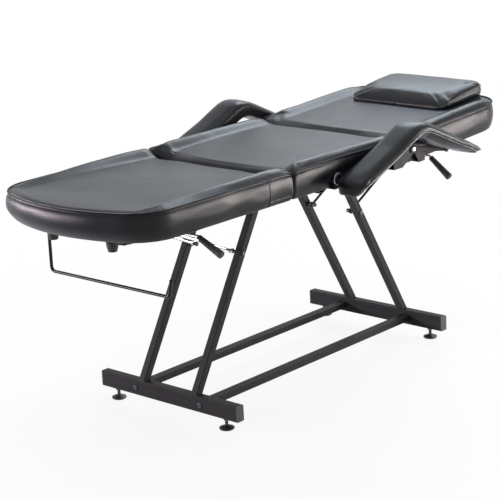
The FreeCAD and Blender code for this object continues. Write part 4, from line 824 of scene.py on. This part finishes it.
def make_seat_cushion():
    shaped = cushion(SEAT, SIDE_INSET, 0.0, seat_top)
    limits = tuple(SEAT_ORIGIN[1] + y for y in SEAT_LIMITS)
    _, seam = finish_cushion("seat_cushion", "base", in_seat, shaped, 5, limits)
    count = shaped[2]
    far = START_SKIP + COUNTS[2] + 6
    piping("seat_cushion_piping_left", seam[START_SKIP - 2:far], in_seat, "base")
    piping("seat_cushion_piping_right", seam[count - far + 1:count - START_SKIP + 3], in_seat, "base")


def make_back_cushion():
    shaped = cushion(BACK, BACK_END_IN, -NOSE_RADIUS, back_top)
    _, seam = finish_cushion("back_cushion", "back_section", in_back, shaped, 8, warp=bull_nose)
    piping("back_cushion_piping", seam_run(seam, shaped[2]), in_back, "back_section")


# Head pillow

PILLOW_START, PILLOW_END, PILLOW_HALF, PILLOW_CORNER = 320.0, 566.0, 202.0, 34.0
PILLOW_SHIFT = 8.0
PILLOW_FLOOR = 39.6
PILLOW_FRONT, PILLOW_REAR, PILLOW_DOME = 30.0, 54.0, 6.0
PILLOW_COUNTS = (24, 10, 26, 10, 24)
PILLOW_SIDE_SHARES = (0.0, 0.15, 0.35, 0.6, 0.8, 0.93)
PILLOW_INWARD = (0, 2.5, 5, 9, 14, 20, 27, 35, 44, 55, 68, 84, 102, 122, 144, 166, 186)


def pillow_loop(grow=0.0):
    """The pillow's round-cornered outline from mid start edge round +x, then mirrored."""
    half, corner = PILLOW_HALF - 3 + grow, PILLOW_CORNER
    start, end = PILLOW_START + 2 - grow, PILLOW_END - 3 + grow
    n0, n1, n2, n3, n4 = PILLOW_COUNTS
    parts = [np.stack([np.linspace(0, half - corner, n0, endpoint=False), np.full(n0, start)], 1)]
    a = np.linspace(-math.pi / 2, 0, n1, endpoint=False)
    parts.append(np.stack([half - corner + corner * np.cos(a), start + corner + corner * np.sin(a)], 1))
    y = np.linspace(start + corner, end - corner, n2, endpoint=False)
    parts.append(np.stack([np.full(n2, half), y], 1))
    a = np.linspace(0, math.pi / 2, n3, endpoint=False)
    parts.append(np.stack([half - corner + corner * np.cos(a), end - corner + corner * np.sin(a)], 1))
    parts.append(np.stack([np.linspace(half - corner, 0, n4 + 1), np.full(n4 + 1, end)], 1))
    right = np.concatenate(parts)
    return np.concatenate([right, right[-2:0:-1] * (-1, 1)])


def pillow_share(y):
    return np.clip((y - PILLOW_START) / (PILLOW_END - PILLOW_START), 0, 1)


def make_pillow():
    loop = pillow_loop()
    count = len(loop)
    along = pillow_share(loop[:, 1])
    seam_z = np.interp(along, (0, 0.04, 0.14, 0.5, 1.0), (8.0, 10.0, 20.0, 29.0, 38.0))
    middle = np.clip(loop[:, 1], PILLOW_START + 110, PILLOW_END - 110)
    centre = np.stack([np.zeros(count), middle], 1)
    rings = []
    for scale in (0.2, 0.7, 0.93):
        rings.append(np.column_stack([centre + (loop - centre) * scale, np.full(count, 0.4)]))
    for share in PILLOW_SIDE_SHARES:
        bulge = 3.0 * math.sin(math.pi * min(1, share * 0.9 + 0.05)) - 3.5 * (1 - share) ** 3
        rings.append(np.column_stack([pillow_loop(bulge), 0.6 + share * (seam_z - 0.6)]))
    seam_level = len(rings)
    spine = np.stack([np.zeros(count), np.clip(loop[:, 1], PILLOW_START + 115, PILLOW_END - 115)], 1)
    reach = 26.0 + 52.0 * (1 - smooth_step(along / 0.4))
    for distance in PILLOW_INWARD:
        ring = loop + (spine - loop) * (distance / 200)
        share = pillow_share(ring[:, 1])
        top = PILLOW_FRONT + (PILLOW_REAR - PILLOW_FRONT) * share + PILLOW_DOME * np.sin(math.pi * share)
        top += 3.0 * (1 - (ring[:, 0] / PILLOW_HALF) ** 2)
        step = np.linalg.norm(ring - loop, axis=1)
        dome = np.sqrt(np.clip(1 - (1 - np.clip(step / reach, 0, 1)) ** 2.2, 0, 1))
        rings.append(np.column_stack([ring, seam_z + (top - seam_z) * dome]))
    points = np.concatenate(rings) + (PILLOW_SHIFT, 0, PILLOW_FLOOR)
    faces = ring_faces(len(rings), count)
    thing = leather_object("head_pillow_soft", in_back(points), faces, LEATHER, "head_pillow")
    puff(thing, pinned(len(points), count, seam_level, 4), cap=3.0)
    seam = points[seam_level * count:(seam_level + 1) * count]
    world = vertex_rows(thing) / MM
    world = creases(world, vertex_rows(thing, "normal"), in_back(seam), amount=0.5, pitch=17.0, reach=22.0)
    set_coords(thing, world * MM)
    uneven = noise_field(world, 120.0, 21) * 0.5
    uneven[:4 * count] = 0.0
    world = world + vertex_rows(thing, "normal") * uneven[:, None]
    set_coords(thing, world * MM)
    subdivide(thing)
    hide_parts("head_pillow")
    closed = np.concatenate([seam, seam[:1]])
    piping("head_pillow_piping", closed, in_back, "head_pillow", outward=1.0, lift=0.6, material=TRIM)


# Arm pads

ARM_FRONT, ARM_REAR = -68.0, 587.0
ARM_BASE, ARM_RISE = 652.0, 137.5
ARM_INNER, ARM_WIDTH = 322.2, 108.3
ARM_SEAM_SHARES = ((0.0, 0.055), (0.012, 0.075), (0.032, 0.115), (0.06, 0.165), (0.1, 0.24),
                   (0.16, 0.345), (0.22, 0.455), (0.308, 0.615), (0.398, 0.807), (0.46, 0.935),
                   (0.505, 0.995), (0.55, 0.965), (0.624, 0.815), (0.705, 0.64), (0.788, 0.47),
                   (0.872, 0.311), (0.931, 0.196), (0.968, 0.128), (0.988, 0.088), (1.0, 0.066))
ARM_DEPTH, ARM_UNDERCUT, ARM_SHOULDER = 26.5, 19.0, 17.0
ARM_TOP, ARM_CROWN, ARM_EDGE = 19.0, 5.0, 5
ARM_OUTER_LIMIT = 432.5
ARM_CREST = 0.503
ARM_REAR_STITCHES = 0.52
ARM_TIP_SHARES = ((0.0, 0.002, 0.005, 0.009, 0.014, 0.02, 0.028),
                  (0.972, 0.98, 0.986, 0.991, 0.995, 0.998, 1.0))


def arm_seam(share):
    """The seam's place along and up at a share of the pad's length, rounded a little at its bends."""
    left = [a for a, _ in ARM_SEAM_SHARES]
    rise = [b for _, b in ARM_SEAM_SHARES]
    wide = np.linspace(-0.012, 0.012, 5)
    height = np.mean([np.interp(share + w, left, rise) for w in wide], axis=0)
    return ARM_FRONT + share * (ARM_REAR - ARM_FRONT), ARM_BASE + ARM_RISE * height


def steps(count):
    return np.linspace(0, 1, count)[:-1]


def arm_section(width, thick):
    """The section's points across and up from the seam, from the inner lower edge round under."""
    half = width / 2
    depth = ARM_DEPTH * thick
    under = ARM_UNDERCUT * width / ARM_WIDTH
    shoulder = ARM_SHOULDER * width / ARM_WIDTH
    top = ARM_TOP * thick
    edge = ARM_EDGE
    points = []
    for t in steps(9):
        flat = 2 * half - under - 2 * edge
        points.append((-half + edge + t * flat, -depth + 1.2 * math.sin(math.pi * t) * -0.4))
    for t in steps(5):
        a = t * math.pi / 2
        points.append((half - under - edge + edge * math.sin(a), -depth + edge - edge * math.cos(a)))
    for t in steps(7):
        bow = 2.2 * math.sin(math.pi * t)
        points.append((half - under + under * t + bow, -depth + edge + (depth - edge) * t - bow * 0.4))
    outer = len(points)
    for t in steps(8):
        a = t * math.pi / 2
        points.append((half - shoulder + shoulder * math.cos(a), top * math.sin(a)))
    for t in steps(13):
        x = half - shoulder - t * (2 * half - 2 * shoulder)
        points.append((x, top + ARM_CROWN * thick * (1 - (x / max(half, 1)) ** 2) - 0.8))
    for t in steps(8):
        a = math.pi / 2 - t * math.pi / 2
        points.append((-half + shoulder - shoulder * math.cos(a), top * math.sin(a)))
    inner = len(points)
    for t in steps(5):
        points.append((-half, -(depth - edge) * t))
    for t in steps(4):
        a = t * math.pi / 2
        points.append((-half + edge - edge * math.cos(a), -depth + edge - edge * math.sin(a)))
    return np.array(points), outer, inner


def end_taper(share):
    """Width and thickness shares: full along the pad, rounding off at both tips."""
    edge = np.minimum(share, 1 - share) * (ARM_REAR - ARM_FRONT)
    width = np.sqrt(np.clip(1 - (1 - np.clip(edge / 46, 0, 1)) ** 2.4, 0.0, 1))
    thick = np.sqrt(np.clip(1 - (1 - np.clip(edge / 22, 0, 1)) ** 2, 0.0, 1))
    slim = 1 - 0.46 * smooth_step((share - 0.62) / 0.38)
    return 0.12 + 0.88 * width, (0.2 + 0.8 * thick) * slim


def arm_ring(share):
    """One ring of the left pad, with the places of its outer and inner seam points in it."""
    y, z = arm_seam(share)
    ahead = arm_seam(min(1, share + 0.004))
    behind = arm_seam(max(0, share - 0.004))
    width, thick = end_taper(share)
    section, outer, inner = arm_section(ARM_WIDTH * width, thick)
    slope = math.atan2(ahead[1] - behind[1], ahead[0] - behind[0])
    pinch = 1 - 0.05 * math.exp(-((share - ARM_CREST) / 0.012) ** 2)
    across = ARM_INNER + ARM_WIDTH / 2 + section[:, 0]
    up = section[:, 1] * np.where(section[:, 1] > 0, pinch, 1.0)
    lean = 0.35 * slope
    return np.stack([across, y - up * math.sin(lean), z + up * math.cos(lean)], 1), outer, inner


def arm_mesh():
    """The left pad's points and faces, closed at both tips, and its outer and inner seam lines."""
    first, last = ARM_TIP_SHARES
    made = [arm_ring(share) for share in np.concatenate([first, np.linspace(0.037, 0.963, 96), last])]
    rings = [ring for ring, _, _ in made]
    count = len(rings[0])
    base = (len(rings) - 1) * count
    points = np.concatenate(rings)
    faces = []
    for low in range(0, base, count):
        faces += band_faces(low, low + count, count)
    tips = [points[:count].mean(0) + (0, -0.6, 0), points[-count:].mean(0) + (0, 0.6, 0)]
    tip = len(points)
    for i in range(count):
        j = (i + 1) % count
        faces.append((tip, i, j))
        faces.append((tip + 1, base + j, base + i))
    points = np.concatenate([points, tips])
    points[:, 0] = np.clip(points[:, 0], ARM_INNER, ARM_INNER + ARM_WIDTH)
    outer_line = np.array([ring[outer] for ring, outer, _ in made])
    inner_line = np.array([ring[inner] for ring, _, inner in made])
    return points, faces, count, made[0][1], outer_line, inner_line


def make_arm_pad(side, name, body):
    points, faces, count, outer, outer_line, inner_line = arm_mesh()
    flip = (side, 1, 1)
    points, outer_line, inner_line = points * flip, outer_line * flip, inner_line * flip
    if side < 0:
        faces = [tuple(reversed(face)) for face in faces]
    thing = leather_object(f"{name}_pad_soft", points, faces, LEATHER, body)
    held = np.zeros(len(points))
    held[np.abs(np.abs(points[:, 0]) - ARM_INNER) < 2] = 1.0
    held[np.arange(len(outer_line)) * count + outer] = 1.0
    puff(thing, held, cap=1.8)
    world = vertex_rows(thing) / MM
    normals = vertex_rows(thing, "normal")
    world = creases(world, normals, outer_line, amount=0.4, pitch=15.0, reach=16.0)
    world = world + normals * (noise_field(world, 130.0, 31) * 0.4)[:, None]
    limit = np.clip(np.abs(world[:, 0]), ARM_INNER - 0.2, ARM_OUTER_LIMIT)
    world[:, 0] = np.sign(world[:, 0]) * limit
    set_coords(thing, world * MM)
    subdivide(thing)
    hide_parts(f"{name}_pad")
    outer_path = outer_line[6:-6]
    bead_object(f"{name}_piping", resampled(outer_path + (side * 0.6, 0, 0), 5.0), 2.0, 10, TRIM, body)
    inner_path = inner_line[8:-8] + (side * 1.2, 0, 1.0)
    bead_object(f"{name}_inner_piping", resampled(inner_path, 5.0), 1.6, 8, PIPING, body)
    inward = (-side, 0, 0)
    below = on_surface(thing, outer_path + (0, 0, -6.5), inward, out=0.35)
    above = on_surface(thing, outer_path + (0, 0, 5.0), inward, out=0.35)
    rear = above[above[:, 1] > ARM_FRONT + ARM_REAR_STITCHES * (ARM_REAR - ARM_FRONT)]
    stitch_object(f"{name}_stitches", (below, rear), 7.0, 0.7, body)


# Floor and light


def any_of(tree, path, names):
    """1 where a ray is of one of the named kinds."""
    total = None
    for name in names:
        if total is None:
            total = path.outputs[name]
            continue
        made = node(tree, "ShaderNodeMath", operation="MAXIMUM")
        tree.links.new(total, made.inputs[0])
        tree.links.new(path.outputs[name], made.inputs[1])
        total = made.outputs[0]
    return total


SHOWN_TO = ("Is Camera Ray", "Is Glossy Ray", "Is Transmission Ray")


FLOOR_REACH = 30.0
# The floor shows its own shading near the chair, by 12 percent, and plain white further out
FLOOR_FADE = {"From Min": 0.9, "From Max": 2.6, "To Min": 0.88, "To Max": 1.0}


def make_stage():
    data = bpy.data.meshes.new("floor")
    reach = FLOOR_REACH
    corners = [(-reach, -reach, 0), (reach, -reach, 0), (reach, reach, 0), (-reach, reach, 0)]
    data.from_pydata(corners, [], [(0, 1, 2, 3)])
    floor = bpy.data.objects.new("floor", data)
    bpy.context.scene.collection.objects.link(floor)
    material, tree, bsdf = shader("pale_floor", Base_Color=(0.9, 0.9, 0.91, 1), Roughness=0.28,
                                  Specular_IOR_Level=0.3)
    glow = node(tree, "ShaderNodeEmission", Strength=1.0, Color=(1, 1, 1, 1))
    path = node(tree, "ShaderNodeLightPath")
    coords = node(tree, "ShaderNodeTexCoord")
    length = node(tree, "ShaderNodeVectorMath", operation="LENGTH")
    tree.links.new(coords.outputs["Object"], length.inputs[0])
    share = node(tree, "ShaderNodeMapRange", interpolation_type="SMOOTHSTEP")
    for key, value in FLOOR_FADE.items():
        share.inputs[key].default_value = value
    tree.links.new(length.outputs["Value"], share.inputs["Value"])
    faded = node(tree, "ShaderNodeMath", operation="MULTIPLY")
    tree.links.new(share.outputs["Result"], faded.inputs[1])
    tree.links.new(any_of(tree, path, SHOWN_TO), faded.inputs[0])
    mixed = node(tree, "ShaderNodeMixShader")
    tree.links.new(faded.outputs[0], mixed.inputs["Fac"])
    tree.links.new(bsdf.outputs["BSDF"], mixed.inputs[1])
    tree.links.new(glow.outputs["Emission"], mixed.inputs[2])
    tree.links.new(mixed.outputs["Shader"], tree.nodes["Material Output"].inputs["Surface"])
    data.materials.append(material)


BRIGHT_WAY = Vector((-0.25, 0.75, 0.6)).normalized()
WORLD_STOPS = [(0.0, (0.05, 0.05, 0.055)), (0.45, (0.10, 0.10, 0.11)), (0.7, (0.24, 0.25, 0.27)),
               (0.9, (0.42, 0.44, 0.47)), (1.0, (0.5, 0.52, 0.56))]


def make_world():
    world = bpy.data.worlds.new("studio")
    bpy.context.scene.world = world
    world.use_nodes = True
    tree = world.node_tree
    tree.nodes.clear()
    out = node(tree, "ShaderNodeOutputWorld")
    light = node(tree, "ShaderNodeBackground", Strength=1.0)
    coords = node(tree, "ShaderNodeTexCoord")
    behind = node(tree, "ShaderNodeVectorMath", operation="DOT_PRODUCT")
    behind.inputs[1].default_value = BRIGHT_WAY
    tree.links.new(coords.outputs["Generated"], behind.inputs[0])
    share = node(tree, "ShaderNodeMapRange")
    share.inputs["From Min"].default_value, share.inputs["From Max"].default_value = -1.0, 1.0
    tree.links.new(behind.outputs["Value"], share.inputs["Value"])
    glow = ramp(tree, share.outputs["Result"], WORLD_STOPS)
    tree.links.new(glow, light.inputs["Color"])
    seen = node(tree, "ShaderNodeBackground", Strength=1.0, Color=(1, 1, 1, 1))
    path = node(tree, "ShaderNodeLightPath")
    mixed = node(tree, "ShaderNodeMixShader")
    tree.links.new(any_of(tree, path, SHOWN_TO), mixed.inputs["Fac"])
    tree.links.new(light.outputs["Background"], mixed.inputs[1])
    tree.links.new(seen.outputs["Background"], mixed.inputs[2])
    tree.links.new(mixed.outputs["Shader"], out.inputs["Surface"])


# Name, place, target, width, height, power and colour of each soft lamp
LAMPS = (("rear_high", (-1.5, 3.3, 3.3), (0, 0.1, 0.75), 2.2, 1.4, 80, (0.80, 0.90, 1.0)),
         ("above", (0.5, -0.3, 3.9), (0, 0, 0.7), 1.8, 1.8, 30, (0.92, 0.96, 1.0)),
         ("foot_left", (-3.4, -3.1, 0.95), (0, -0.9, 0.72), 3.2, 0.9, 260, (1.0, 0.86, 0.97)),
         ("right_rear", (2.15, 2.15, 0.62), (0.3, 0.2, 0.7), 1.3, 1.15, 110, (1.0, 0.91, 0.88)))


def make_lights():
    for name, place, target, width, height, power, colour in LAMPS:
        data = bpy.data.lights.new(name, "AREA")
        data.shape = "RECTANGLE"
        data.size, data.size_y = width, height
        data.energy = power
        data.color = colour
        lamp = bpy.data.objects.new(name, data)
        bpy.context.scene.collection.objects.link(lamp)
        lamp.location = place
        lamp.visible_camera = False
        lamp.rotation_euler = (Vector(target) - Vector(place)).to_track_quat("-Z", "Y").to_euler()


make_camera()
dress_cad()
make_leg_cushion()
make_seat_cushion()
make_back_cushion()
make_pillow()
make_arm_pad(1, "left_arm", "left_armrest")
make_arm_pad(-1, "right_arm", "right_armrest")
make_stage()
make_world()
make_lights()
bpy.context.scene.view_settings.view_transform = "Standard"
